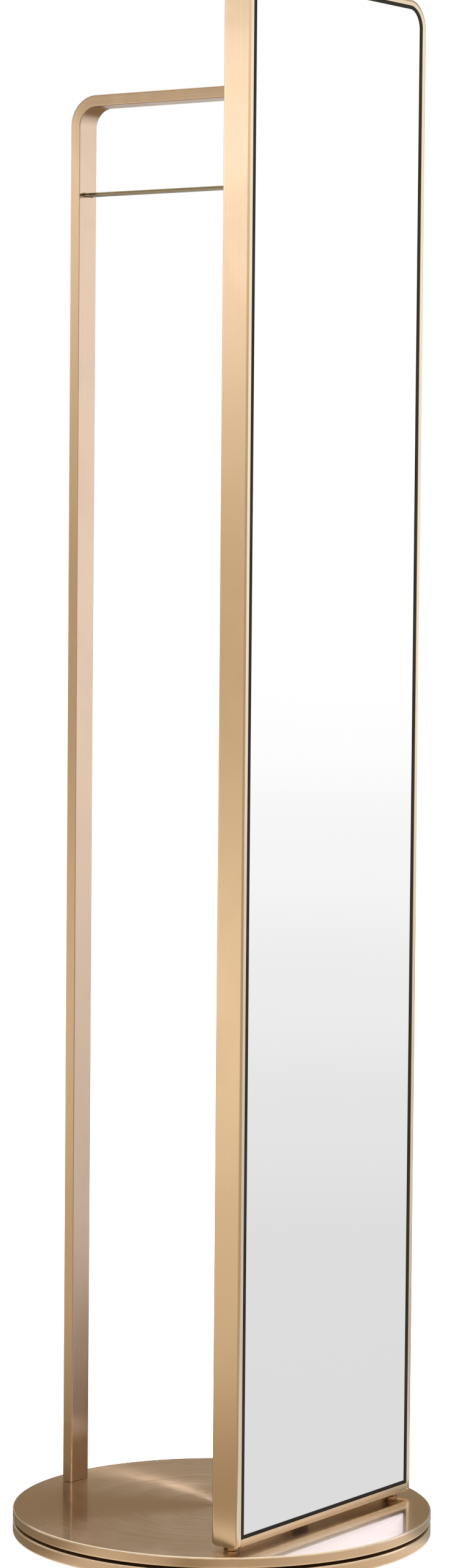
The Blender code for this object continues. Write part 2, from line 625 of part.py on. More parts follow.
def build_hanger(axis, brass, steel):
    """The hanging frame bent from flat tube, its rail and the plugs in its open ends."""
    outline = band(HANGER_FRONT, HANGER_BACK, LEG_BOTTOM, HANGER_TOP, HANGER_BEND_RADIUS, TUBE_THICKNESS)
    mesh = make_mesh("hanger_frame", extruded(outline, TUBE_WIDTH), brass)
    hanger = place("hanger_frame", mesh, axis, (-TUBE_WIDTH / 2, 0, 0), SIDE_ON)
    round_edges(hanger, FRAME_EDGE_RADIUS)
    hollow = band(
        HANGER_FRONT + TUBE_WALL, HANGER_BACK - TUBE_WALL, LEG_BOTTOM - CUT_MARGIN,
        HANGER_TOP - TUBE_WALL, HANGER_BEND_RADIUS - TUBE_WALL, TUBE_THICKNESS - 2 * TUBE_WALL,
    )
    hollow_width = TUBE_WIDTH - 2 * TUBE_WALL
    combine(hanger, "tube_hollow", extruded(hollow, hollow_width), rotation=SIDE_ON,
            location=(-hollow_width / 2, 0, 0))
    start = HANGER_FRONT + TUBE_THICKNESS + CUT_MARGIN
    length = TUBE_THICKNESS + 2 * CUT_MARGIN
    wide = BOLT_RADIUS + SEAT_GAP
    profile = [(0, length), (wide, length), (wide, 0), (0, 0)]
    frames = [pointing_forward(0, start, height) for _, height in cross_bar_heights()]
    combine(hanger, "tube_tie_holes", gather(lambda: turned(profile, FASTENER_SEGMENTS), frames))

    inner_front = HANGER_FRONT + TUBE_THICKNESS
    inner_back = HANGER_BACK - TUBE_THICKNESS
    length = inner_back - inner_front - 2 * SEAT_GAP
    mesh = make_mesh("hanger_rail", box(RAIL_WIDTH, length, RAIL_THICKNESS), brass)
    spot = (0, (inner_front + inner_back) / 2, RAIL_CENTRE - RAIL_THICKNESS / 2)
    rail = place("hanger_rail", mesh, axis, spot)
    round_edges(rail, FRAME_EDGE_RADIUS)

    plug_width = hollow_width - 2 * SEAT_GAP
    plug_depth = TUBE_THICKNESS - 2 * TUBE_WALL - 2 * SEAT_GAP
    hole = [(0, LEG_BOLT_REACH + SEAT_GAP), (wide, LEG_BOLT_REACH + SEAT_GAP)]
    hole += [(wide, -CUT_MARGIN), (0, -CUT_MARGIN)]
    for name, depth in (("front", FRONT_LEG_CENTRE), ("rear", REAR_LEG_CENTRE)):
        mesh = make_mesh("leg_plug", box(plug_width, plug_depth, PLUG_HEIGHT), steel)
        plug = place(f"leg_plug_{name}", mesh, axis, (0, depth, LEG_BOTTOM))
        frames = [
            Matrix.Translation((x, y, LEG_BOTTOM)) for spot, (x, y) in leg_bolt_places()
            if spot.startswith(name)
        ]
        combine(plug, f"leg_plug_{name}_holes", gather(lambda: turned(hole, FASTENER_SEGMENTS), frames))


def main():
    """Build every piece of the stand."""
    clear_scene()
    brass = make_finish("brass", (0.78, 0.56, 0.28), 0.22, 1.0)
    black = make_finish("black_seal", (0.02, 0.02, 0.018), 0.6, 0.0)
    rubber = make_finish("rubber", (0.03, 0.03, 0.03), 0.8, 0.0)
    silver = make_finish("silvered_glass", (0.92, 0.93, 0.93), 0.02, 1.0)
    board = make_finish("fibreboard", (0.45, 0.33, 0.22), 0.8, 0.0)
    alloy = make_finish("alloy", (0.75, 0.76, 0.78), 0.35, 1.0)
    steel = make_finish("steel", (0.55, 0.55, 0.56), 0.35, 1.0)
    build_fixed_base(brass, rubber, alloy, steel)
    build_ball_cage(steel)
    turning_axis = make_axis("turntable_axis", 0)
    build_turntable(turning_axis, brass, board, alloy, steel)
    build_mirror(turning_axis, brass, black, silver, board, steel)
    build_hanger(turning_axis, brass, steel)


main()
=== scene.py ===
"""Looks of a revolving coat stand with a full-length mirror.

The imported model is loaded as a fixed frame. Its visible pieces are worked out again as smooth
surfaces in the same places, and every piece gets a procedural finish. Metres, +Z up. The mirror
faces -Y and the stand turns about the Z axis.
"""

from __future__ import annotations

import json
import logging
import math
from abc import ABC, abstractmethod
from collections.abc import Callable, Sequence
from dataclasses import dataclass, field, replace
from enum import Enum
from functools import reduce

import bpy
import numpy as np
import numpy.typing as npt
from mathutils import Matrix, Quaternion, Vector

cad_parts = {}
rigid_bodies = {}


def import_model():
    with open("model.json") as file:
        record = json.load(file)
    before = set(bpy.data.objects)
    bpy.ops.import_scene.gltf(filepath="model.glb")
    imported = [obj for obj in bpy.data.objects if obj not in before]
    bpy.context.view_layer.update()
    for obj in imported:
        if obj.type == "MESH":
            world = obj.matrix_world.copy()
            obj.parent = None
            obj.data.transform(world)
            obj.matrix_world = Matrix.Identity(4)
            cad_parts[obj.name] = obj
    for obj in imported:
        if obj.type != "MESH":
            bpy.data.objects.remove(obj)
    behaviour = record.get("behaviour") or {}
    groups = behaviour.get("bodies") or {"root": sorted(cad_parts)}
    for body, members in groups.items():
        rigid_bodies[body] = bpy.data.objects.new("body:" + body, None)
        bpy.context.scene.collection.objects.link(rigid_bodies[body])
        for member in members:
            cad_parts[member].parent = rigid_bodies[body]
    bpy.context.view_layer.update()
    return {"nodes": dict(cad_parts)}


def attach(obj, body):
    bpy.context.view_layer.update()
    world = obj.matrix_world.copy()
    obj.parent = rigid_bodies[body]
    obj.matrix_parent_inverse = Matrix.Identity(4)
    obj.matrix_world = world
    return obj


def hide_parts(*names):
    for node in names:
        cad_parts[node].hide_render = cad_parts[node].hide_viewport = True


LOG = logging.getLogger("coat_stand")
GRAIN_MAP = "grain"
EDGE_ATTRIBUTE = "edge"
FLANK_ATTRIBUTE = "flank"
VECTOR_INPUT = "Vector"
SHARP_ANGLE = math.radians(38)
QUARTER_TURN = math.pi / 2
FULL_TURN = 2 * math.pi
NOISE_MIDDLE = (0.3, 0.7)

Array = npt.NDArray[np.float64]
Colour = tuple[float, float, float]
Point = tuple[float, float, float]
Span = tuple[float, float]
Stops = tuple[tuple[float, Colour], ...]
Socket = bpy.types.NodeSocket

# Directions
X_AXIS: Point = (1.0, 0.0, 0.0)
Y_AXIS: Point = (0.0, 1.0, 0.0)
Z_AXIS: Point = (0.0, 0.0, 1.0)
LEFT_BACK: Point = (-0.817, 0.577, 0.0)
FRONT_RIGHT: Point = (0.817, -0.577, 0.0)
BACK_RIGHT: Point = (0.817, 0.577, 0.0)
FRONT_LEFT: Point = (-0.576, -0.817, 0.0)
ACROSS: Point = (0.577, 0.817, 0.0)

# Heights of the bars across the mirror frame, which the hanging frame is bolted to
BAR_HEIGHTS = (0.288, 0.8915, 1.495)


class Body(Enum):
    """The bodies of the stand that pieces ride on."""

    FIXED_BASE = "fixed_base"
    BALL_RING = "ball_ring"
    TURNTABLE = "turntable"


class Slot(Enum):
    """The record's material slots."""

    BRASS = "brass"
    RUBBER = "rubber"
    ALLOY = "alloy"
    STEEL = "steel"
    FIBREBOARD = "fibreboard"
    SEAL = "seal"
    MIRROR = "mirror"


class Grain(Enum):
    """The way that the brushing of a metal runs."""

    LENGTHWISE = "along the piece's own grain map"
    CIRCULAR = "round the stand's axis"
    UPRIGHT = "straight up"


class Drive(Enum):
    """The recess in a fastener's head."""

    HEXAGON = "hexagon"
    CROSS = "cross"


# Surfaces


@dataclass
class Surface:
    """A grid of points on two parameters, whose rows are closed loops.

    Shares are given for each point, for each row as (rows, 1), for each column, or once for all.

    Attributes:
        points: Grid of shape (rows, columns, 3).
        along: Length of each row's place along the piece, shape (rows,).
        across: Length round a loop to each column and back to the first, shape (columns + 1,).
        edge: Shares by which points are on a rounded edge, 0 to 1.
        flank: Shares by which points are on a bar's narrow side or a disc's rim, 0 to 1.
        ring: Whether the last row joins the first. If not, flat caps close the two end rows.
    """

    points: Array
    along: Array
    across: Array
    edge: Array | float = 0.0
    flank: Array | float = 0.0
    ring: bool = False

    def moved(self, spot: Sequence[float]) -> Surface:
        """The same surface, carried to another place."""
        return replace(self, points=self.points + np.asarray(spot))

    def faces(self) -> tuple[Array, Array, list[Array]]:
        """Work out the faces between neighbouring rows and columns.

        Returns:
            The quads as rows of four point numbers, their grain coordinates with shape
            (quads, 4, 2), and the caps as lists of point numbers. All of them point outwards.
        """
        rows, columns = self.points.shape[:2]
        index = np.arange(rows * columns).reshape(rows, columns)
        along = self.along
        if self.ring:
            start, stop = index, np.roll(index, -1, axis=0)
            closing = np.linalg.norm(self.points[0, 0] - self.points[-1, 0])
            along = np.append(along, along[-1] + closing)
        else:
            start, stop = index[:-1], index[1:]
        quads = np.stack([start, np.roll(start, -1, 1), np.roll(stop, -1, 1), stop], axis=-1)
        low, left = np.meshgrid(along[:-1], self.across[:-1], indexing="ij")
        high, right = np.meshgrid(along[1:], self.across[1:], indexing="ij")
        corners = ((low, left), (low, right), (high, right), (high, left))
        grain = np.stack([np.stack(corner, axis=-1) for corner in corners], axis=2)
        quads, grain = quads.reshape(-1, 4), grain.reshape(-1, 4, 2)
        caps = [] if self.ring else [index[0, ::-1], index[-1]]
        if self.volume(quads, caps) < 0:
            quads, grain, caps = quads[:, ::-1], grain[:, ::-1], [cap[::-1] for cap in caps]
        return quads, grain, caps

    def volume(self, quads: Array, caps: Sequence[Array]) -> float:
        """Sum the signed volumes between the origin and every triangle.

        Args:
            quads: Rows of four point numbers.
            caps: Lists of point numbers round each cap.

        Returns:
            Six times the closed volume, which is negative if the faces point inwards.
        """
        fans = [
            np.stack([np.full(len(cap) - 2, cap[0]), cap[1:-1], cap[2:]], axis=-1) for cap in caps
        ]
        triangles = np.concatenate([quads[:, [0, 1, 2]], quads[:, [0, 2, 3]], *fans])
        a, b, c = np.moveaxis(self.points.reshape(-1, 3)[triangles], 1, 0)
        return float(np.einsum("ij,ij->", a, np.cross(b, c)))

    def mesh(self, name: str) -> bpy.types.Mesh:
        """Put the surface into a mesh, with its grain map and its shares.

        Args:
            name: Name of the mesh.

        Returns:
            The mesh, shaded smooth with its real edges sharp.
        """
        quads, grain, caps = self.faces()
        round_loop = self.across[:-1]
        ends = (self.along[0], self.along[-1])[: len(caps)]
        cap_grain = [np.stack([np.full_like(round_loop, end), round_loop], axis=-1) for end in ends]
        mesh = bpy.data.meshes.new(name)
        faces = quads.tolist() + [cap.tolist() for cap in caps]
        mesh.from_pydata(self.points.reshape(-1, 3), [], faces)
        layer = mesh.uv_layers.new(name=GRAIN_MAP)
        grain = np.concatenate([grain.reshape(-1, 2), *cap_grain])
        layer.data.foreach_set("uv", grain.astype(np.float32).ravel())
        for label, shares in ((EDGE_ATTRIBUTE, self.edge), (FLANK_ATTRIBUTE, self.flank)):
            layer = mesh.attributes.new(label, "FLOAT", "POINT")
            spread = np.broadcast_to(shares, self.points.shape[:2])
            layer.data.foreach_set("value", spread.astype(np.float32).ravel())
        mesh.shade_smooth()
        mesh.set_sharp_from_angle(angle=SHARP_ANGLE)
        mesh.update()
        return mesh


def lengths_of(points: Array, closed: bool = False) -> Array:
    """Add up the distances from point to point.

    Args:
        points: Points of shape (count, dimensions).
        closed: Whether the way back to the first point is added at the end.

    Returns:
        The length up to each point, starting from 0.
    """
    if closed:
        points = np.concatenate([points, points[:1]])
    steps = np.linalg.norm(np.diff(points, axis=0), axis=1)
    return np.concatenate([[0.0], np.cumsum(steps)])


def circle_angles(count: int) -> Array:
    """Even angles round a full turn, without the last, which is the first again."""
    return np.arange(count) * FULL_TURN / count


def arc(centre: tuple[float, float], radius: float, start: float, stop: float, steps: int) -> Array:
    """Points from angle to angle: the centre plus the radius times the angle's cosine and sine."""
    angles = np.linspace(start, stop, steps + 1)
    return np.asarray(centre) + radius * np.stack([np.cos(angles), np.sin(angles)], axis=-1)


def rounded_rectangle(
    width: float, height: float, radius: float, low_radius: float | None = None, steps: int = 4
) -> tuple[Array, Array]:
    """Outline of a bar's section: an arc of radius 1, scaled and turned to the four corners.

    A point on the flat beside each arc keeps the flat faces flat when they are shaded smooth.

    Args:
        width: Size along the first axis.
        height: Size along the second axis.
        radius: Radius of the corners.
        low_radius: Radius of the two corners on the first axis's low side, if it differs.
        steps: Steps in each corner.

    Returns:
        Points of shape (count, 2), anticlockwise, and 1 for those on a corner or 0 on a flat.
    """
    lead = 0.5
    quarter = arc((0, 0), 1.0, 0, QUARTER_TURN, steps)
    corner = np.concatenate([[[1.0, -lead]], quarter, [[-lead, 1.0]]])
    low = radius if low_radius is None else low_radius
    radii = np.array([[radius], [low], [low], [radius]])
    turns = np.arange(4) * QUARTER_TURN
    cosines, sines = np.cos(turns), np.sin(turns)
    turn = np.stack([np.stack([cosines, sines], -1), np.stack([-sines, cosines], -1)], axis=1)
    signs = np.array([[1, 1], [-1, 1], [-1, -1], [1, -1]])
    centres = signs * (np.array([width, height]) / 2 - radii)
    points = centres[:, None] + radii[:, None] * np.einsum("pi,kij->kpj", corner, turn)
    edge = np.tile(np.pad(np.ones(steps + 1), 1), 4)
    return points.reshape(-1, 2), edge


def arch(
    half_span: float, bottom: float, top: float, radius: float, steps: int
) -> tuple[Array, Array]:
    """Path of a bent bar: up one leg, round a quarter circle, across, round another and down.

    A point a twelfth of the radius before and after each bend keeps the straight parts straight.

    Args:
        half_span: Distance of each leg from the middle.
        bottom: Height of the two ends.
        top: Height of the bar across.
        radius: Radius of the two bends.
        steps: Steps in each bend.

    Returns:
        Points of shape (count, 2), as distance and height, and the outward directions there.
    """
    lead = radius / 12
    inner, shoulder = half_span - radius, top - radius
    points = np.concatenate([
        [[half_span, bottom], [half_span, shoulder - lead]],
        arc((inner, shoulder), radius, 0, QUARTER_TURN, steps),
        [[inner - lead, top]],
    ])
    turn = np.concatenate([[0.0, 0.0], np.linspace(0, QUARTER_TURN, steps + 1), [QUARTER_TURN]])
    points = np.concatenate([points, points[::-1] * [-1, 1]])
    turn = np.concatenate([turn, math.pi - turn[::-1]])
    return points, np.stack([np.cos(turn), np.sin(turn)], axis=-1)


def sweep(section: Array, edge: Array, path: Array, outward: Array | Point, side: Point) -> Surface:
    """Carry a section along a path: path point, plus the section's first size along the outward
    direction there, plus its second size along one fixed direction.

    Args:
        section: Section points, shape (columns, 2), or (rows, columns, 2) if the section changes.
        edge: Edge share of each section point.
        path: Path points of shape (rows, 3).
        outward: Outward direction, one for all or one for each path point.
        side: The fixed direction.

    Returns:
        The swept surface with flat ends, whose flanks and grain are those of the middle section.
    """
    sections = np.broadcast_to(section, (len(path), *section.shape[-2:]))
    outwards = np.broadcast_to(outward, path.shape)
    first, second = sections[..., :1], sections[..., 1:]
    points = path[:, None] + first * outwards[:, None] + second * np.asarray(side)
    middle = sections[len(path) // 2]
    flank = np.isclose(np.abs(middle[:, 1]), middle[:, 1].max()).astype(float)
    return Surface(points, lengths_of(path), lengths_of(middle, closed=True), edge, flank)


def hollow(outer: Surface, inner: Surface) -> Surface:
    """Join two skins at their ends into a tube: out along one and back along the other.

    Args:
        outer: The outer skin.
        inner: The inner skin.

    Returns:
        The tube.
    """
    points = np.concatenate([outer.points, inner.points[::-1]])
    along = np.append(outer.along, outer.along[-1] + inner.along[-1] - inner.along[::-1])
    return replace(outer, points=points, along=along, ring=True)


def lathe(profile: Array, segments: int, edge: Array, ring: bool = False) -> Surface:
    """Turn a profile about Z: radius times cosine, radius times sine, height.

    Args:
        profile: Points of shape (rows, 2), as radius and height.
        segments: Steps round the axis.
        edge: Edge share of each profile point.
        ring: Whether the profile closes on itself.

    Returns:
        The turned surface, whose flank is where the radius is greatest.
    """
    angles = circle_angles(segments)
    radius, height = profile[:, :1], profile[:, 1:]
    parts = np.broadcast_arrays(radius * np.cos(angles), radius * np.sin(angles), height)
    points = np.stack(parts, axis=-1)
    across = np.append(angles, FULL_TURN) * radius.max()
    wall = np.isclose(radius, radius.max()).astype(float)
    return Surface(points, lengths_of(profile), across, edge[:, None], wall, ring)


def rim_profile(
    radius: float, low: float, high: float, rounding: float, steps: int = 5
) -> tuple[Array, Array]:
    """Profile of a disc's rim: flat, quarter circle, upright wall, quarter circle, flat.

    Args:
        radius: Radius of the disc.
        low: Height of its underside.
        high: Height of its upper side.
        rounding: Radius of its two edges.
        steps: Steps in each edge.

    Returns:
        Points of shape (count, 2) from the upper side down, and the edge share of each.
    """
    inner, lead = radius - rounding, rounding / 2
    points = np.concatenate([
        [[inner - lead, high]],
        arc((inner, high - rounding), rounding, QUARTER_TURN, 0, steps),
        [[radius, high - rounding - lead], [radius, low + rounding + lead]],
        arc((inner, low + rounding), rounding, 0, -QUARTER_TURN, steps),
        [[inner - lead, low]],
    ])
    return points, np.tile(np.pad(np.ones(steps + 1), 1), 2)


def plate(
    outlines: Array, depths: Array, edge: Sequence[float] = (0.0,), ring: bool = False
) -> Surface:
    """Stack upright outlines from front to back: x and z from the outline, y from the depth.

    Args:
        outlines: Outlines of shape (rows, columns, 2), as x and z.
        depths: The y of each row.
        edge: Edge share of each row, or one for all.
        ring: Whether the last outline joins the first.

    Returns:
        The plate, closed by a flat face in front and behind unless it is a ring.
    """
    points = np.insert(outlines, 1, depths[:, None], axis=2)
    along, across = lengths_of(points[:, 0]), lengths_of(points[0], closed=True)
    return Surface(points, along, across, np.reshape(edge, (-1, 1)), ring=ring)


# Shader nodes


def rgba(colour: object) -> object:
    """Give a plain colour its alpha, and leave a socket as it is."""
    return (*colour, 1.0) if isinstance(colour, tuple) else colour


class NodeBench:
    """Places and links the nodes of one shader tree."""

    spacing = (220, 320)
    row_length = 7

    def __init__(self, tree: bpy.types.NodeTree) -> None:
        """Keep a tree and empty it."""
        self.tree = tree
        tree.nodes.clear()

    @classmethod
    def on_material(cls, name: str) -> tuple[bpy.types.Material, NodeBench]:
        """Make a material.

        Args:
            name: Name of the material.

        Returns:
            The material, and a bench on its tree.
        """
        material = bpy.data.materials.new(name)
        material.use_nodes = True
        return material, cls(material.node_tree)

    def add(
        self, kind: str, inputs: dict[str | int, object] | None = None, **settings: object
    ) -> bpy.types.Node:
        """Add a node.

        Args:
            kind: The node's type.
            inputs: Values, or sockets to link from, by input name or number.
            settings: The node's own settings.

        Returns:
            The node.
        """
        node = self.tree.nodes.new(kind)
        row, column = divmod(len(self.tree.nodes) - 1, self.row_length)
        node.location = (self.spacing[0] * column, -self.spacing[1] * row)
        for key, value in settings.items():
            setattr(node, key, value)
        for key, value in (inputs or {}).items():
            if isinstance(value, Socket):
                self.tree.links.new(value, node.inputs[key])
            else:
                node.inputs[key].default_value = value
        return node

    def get(
        self, kind: str, inputs: dict[str | int, object] | None = None, output: str | int = 0,
        **settings: object,
    ) -> Socket:
        """Add a node, as add does, and return the output that is named or numbered."""
        return self.add(kind, inputs, **settings).outputs[output]

    def math(self, operation: str, *values: object) -> Socket:
        """The result of a Math node on values or sockets."""
        return self.get("ShaderNodeMath", dict(enumerate(values)), operation=operation)

    def product(self, first: Socket, *others: object) -> Socket:
        """The product of values or sockets."""
        return reduce(lambda total, value: self.math("MULTIPLY", total, value), others, first)

    def remap(
        self, value: Socket, source: Span, target: Span = (0.0, 1.0), smooth: bool = False
    ) -> Socket:
        """Carry a value from one range to another.

        Args:
            value: The value.
            source: Range that the value comes in, clamped.
            target: Range that it goes out in.
            smooth: Whether it eases at both ends.

        Returns:
            The output socket.
        """
        labels = ("Value", "From Min", "From Max", "To Min", "To Max")
        inputs = dict(zip(labels, (value, *source, *target)))
        kind = "SMOOTHSTEP" if smooth else "LINEAR"
        return self.get("ShaderNodeMapRange", inputs, "Result", interpolation_type=kind)

    def rise(self, value: Socket, span: Span) -> Socket:
        """A share that eases from 0 to 1 over a span of a value."""
        return self.remap(value, span, smooth=True)

    def fall(self, value: Socket, span: Span) -> Socket:
        """A share that eases from 1 to 0 over a span of a value."""
        return self.remap(value, span, (1.0, 0.0), smooth=True)

    def blend(self, share: object, first: object, second: object, mode: str = "MIX") -> Socket:
        """Blend a share of a second colour or socket into a first."""
        inputs = {0: share, 6: rgba(first), 7: rgba(second)}
        return self.get("ShaderNodeMix", inputs, 2, data_type="RGBA", blend_type=mode)

    def layered(self, tone: Socket, layers: Sequence[tuple[Socket, object]]) -> Socket:
        """Cover a colour with layers of share and colour, each over the ones before it."""
        return reduce(lambda under, layer: self.blend(layer[0], under, layer[1]), layers, tone)

    def noise(
        self, vector: Socket, scale: object, detail: float, roughness: float,
        distortion: float = 0.0,
    ) -> Socket:
        """A noise of values about a half, with so many features per metre of the vector."""
        inputs = {"Vector": vector, "Scale": scale, "Detail": detail, "Roughness": roughness}
        return self.get("ShaderNodeTexNoise", inputs | {"Distortion": distortion})

    def place(self) -> Socket:
        """The place on the object."""
        return self.get("ShaderNodeTexCoord", output="Object")

    def grain_map(self) -> Socket:
        """The place on the piece's grain map, whose X runs along it."""
        return self.get("ShaderNodeUVMap", output="UV", uv_map=GRAIN_MAP)

    def attribute(self, label: str) -> Socket:
        """One of the mesh's shares."""
        return self.get("ShaderNodeAttribute", output="Fac", attribute_name=label)

    def split(self, vector: Socket) -> Sequence[Socket]:
        """The three parts of a vector."""
        return self.add("ShaderNodeSeparateXYZ", {0: vector}).outputs

    def join(self, *parts: Socket) -> Socket:
        """A vector of up to three parts."""
        return self.get("ShaderNodeCombineXYZ", dict(enumerate(parts)))

    def dot(self, vector: Socket, axis: Point) -> Socket:
        """How far a vector goes along an axis."""
        inputs = {0: vector, 1: axis}
        return self.get("ShaderNodeVectorMath", inputs, "Value", operation="DOT_PRODUCT")

    def length(self, vector: Socket) -> Socket:
        """The length of a vector."""
        return self.get("ShaderNodeVectorMath", {0: vector}, "Value", operation="LENGTH")

    def bump(self, strength: float, distance: float, height: Socket) -> Socket:
        """The normal of a relief."""
        inputs = {"Strength": strength, "Distance": distance, "Height": height}
        return self.get("ShaderNodeBump", inputs)

    def rays(self) -> tuple[Socket, Socket, Socket]:
        """Whether a ray is the camera's, a reflection's, and a sharp mirror's.

        Returns:
            The three value sockets.
        """
        path = self.add("ShaderNodeLightPath").outputs
        reflected = self.math("MAXIMUM", path["Is Glossy Ray"], path["Is Transmission Ray"])
        return path["Is Camera Ray"], reflected, path["Is Singular Ray"]

    def ramp(self, value: Socket, stops: Stops) -> Socket:
        """Run of colours over a value.

        Args:
            value: The value.
            stops: Values and colours, from low to high.

        Returns:
            The colour socket.
        """
        low, high = stops[0][0], stops[-1][0]
        node = self.add("ShaderNodeValToRGB", {0: self.remap(value, (low, high))})
        node.color_ramp.interpolation = "EASE"
        while len(node.color_ramp.elements) < len(stops):
            node.color_ramp.elements.new(1.0)
        for element, (place, colour) in zip(node.color_ramp.elements, stops):
            element.position = (place - low) / (high - low)
            element.color = rgba(colour)
        return node.outputs[0]


@dataclass
class SharedEffects:
    """Node groups that several finishes use, each built once.

    Attributes:
        broad_scale: Scale of the broad brush lines, where that of the fine ones is 1.
        fine_share: Share of the fine lines in the brushing.
        mark_span: Values of a noise between which handling marks fade in.
        wear_scale: Breaks per metre in the brighter edges, which stand for wear and a painted
            highlight.
        wear_span: Values of a noise between which the brighter edge grows.
        wear_range: Least and greatest share of the brighter edge.
    """

    broad_scale: float = 0.13
    fine_share: float = 0.62
    mark_span: Span = (0.42, 0.72)
    wear_scale: float = 140.0
    wear_span: Span = (0.3, 0.65)
    wear_range: Span = (0.35, 1.0)

    def __post_init__(self) -> None:
        """Build the groups."""
        self.grain = self.brushed_grain()
        self.marks = self.handling_marks()
        self.wear = self.worn_and_highlit_edges()

    @staticmethod
    def start(
        name: str, inputs: Sequence[str], outputs: Sequence[str]
    ) -> tuple[NodeBench, list[Socket]]:
        """Open a new group, whose sockets are values, apart from the vector.

        Args:
            name: Name of the group.
            inputs: Names of its inputs.
            outputs: Names of its outputs.

        Returns:
            A bench on the group's tree, and the sockets that its inputs come in by.
        """
        tree = bpy.data.node_groups.new(name, "ShaderNodeTree")
        for way, labels in (("INPUT", inputs), ("OUTPUT", outputs)):
            for label in labels:
                kind = "NodeSocketVector" if label == VECTOR_INPUT else "NodeSocketFloat"
                tree.interface.new_socket(label, in_out=way, socket_type=kind)
        bench = NodeBench(tree)
        source = bench.add("NodeGroupInput")
        return bench, [source.outputs[label] for label in inputs]

    def brushed_grain(self) -> bpy.types.NodeTree:
        """Fine lines that are short across the grain and long along it.

        The vector's Y runs across the grain, and X and Z along it. Fine and broad noises are
        stretched along the grain and added.

        Returns:
            The group, with Lines from 0 to 1 and a Height for a bump.
        """
        inputs, outputs = (VECTOR_INPUT, "Fineness", "Stretch"), ("Lines", "Height")
        bench, (vector, fineness, stretch) = self.start("brushed_grain", inputs, outputs)
        slow = bench.math("DIVIDE", fineness, stretch)
        scale = bench.join(slow, fineness, slow)
        stretched = bench.get("ShaderNodeVectorMath", {0: vector, 1: scale}, operation="MULTIPLY")
        fine = bench.noise(stretched, 1.0, detail=3.0, roughness=0.65)
        broad = bench.noise(stretched, self.broad_scale, detail=2.0, roughness=0.5)
        fine_lines, broad_lines = (bench.remap(noise, NOISE_MIDDLE) for noise in (fine, broad))
        weighted = bench.product(fine_lines, self.fine_share)
        lines = bench.math("MULTIPLY_ADD", broad_lines, 1 - self.fine_share, weighted)
        bench.add("NodeGroupOutput", {"Lines": lines, "Height": fine})
        return bench.tree

    def handling_marks(self) -> bpy.types.NodeTree:
        """Soft patches where hands and cloths have been: the upper part of a slow noise.

        Returns:
            The group, with a Mask from 0 to 1.
        """
        bench, (vector, scale) = self.start("handling_marks", (VECTOR_INPUT, "Scale"), ("Mask",))
        noise = bench.noise(vector, scale, detail=4.0, roughness=0.55, distortion=0.6)
        bench.add("NodeGroupOutput", {"Mask": bench.rise(noise, self.mark_span)})
        return bench.tree

    def worn_and_highlit_edges(self) -> bpy.types.NodeTree:
        """Rubbed edges that also carry a painted highlight: the edge share, broken up by a noise.

        Returns:
            The group, with a Mask from 0 to 1.
        """
        bench, (edge, vector) = self.start("worn_and_highlit_edges", ("Edge", VECTOR_INPUT), ("Mask",))
        noise = bench.noise(vector, self.wear_scale, detail=3.0, roughness=0.6)
        broken = bench.remap(noise, self.wear_span, self.wear_range)
        bench.add("NodeGroupOutput", {"Mask": bench.product(edge, broken)})
        return bench.tree

    def marks_on(self, bench: NodeBench, place: Socket, scale: float) -> Socket:
        """Mask of the handling marks on a finish, with so many per metre."""
        inputs = {VECTOR_INPUT: place, "Scale": scale}
        return bench.get("ShaderNodeGroup", inputs, node_tree=self.marks)

    def wear_and_highlight_on(self, bench: NodeBench, place: Socket) -> Socket:
        """Mask of the rubbed edges on a finish, which also paints an edge highlight."""
        inputs = {"Edge": bench.attribute(EDGE_ATTRIBUTE), VECTOR_INPUT: place}
        return bench.get("ShaderNodeGroup", inputs, node_tree=self.wear)


# Finishes


@dataclass(frozen=True)
class Finish(ABC):
    """A finish that can be put on pieces.

    Attributes:
        name: Name of its material.
        slot: The record's slot that it belongs to.
    """

    name: str
    slot: Slot

    @abstractmethod
    def draw(self, bench: NodeBench, effects: SharedEffects) -> dict[str, object]:
        """Add the finish's nodes.

        Args:
            bench: Bench on the material's tree.
            effects: The shared groups.

        Returns:
            Values and sockets for the surface shader, by input name.
        """

    def make(self, effects: SharedEffects) -> bpy.types.Material:
        """Build the material.

        Args:
            effects: The shared groups.

        Returns:
            The material.
        """
        material, bench = NodeBench.on_material(self.name)
        surface = bench.get("ShaderNodeBsdfPrincipled", self.draw(bench, effects))
        bench.add("ShaderNodeOutputMaterial", {"Surface": surface})
        return material


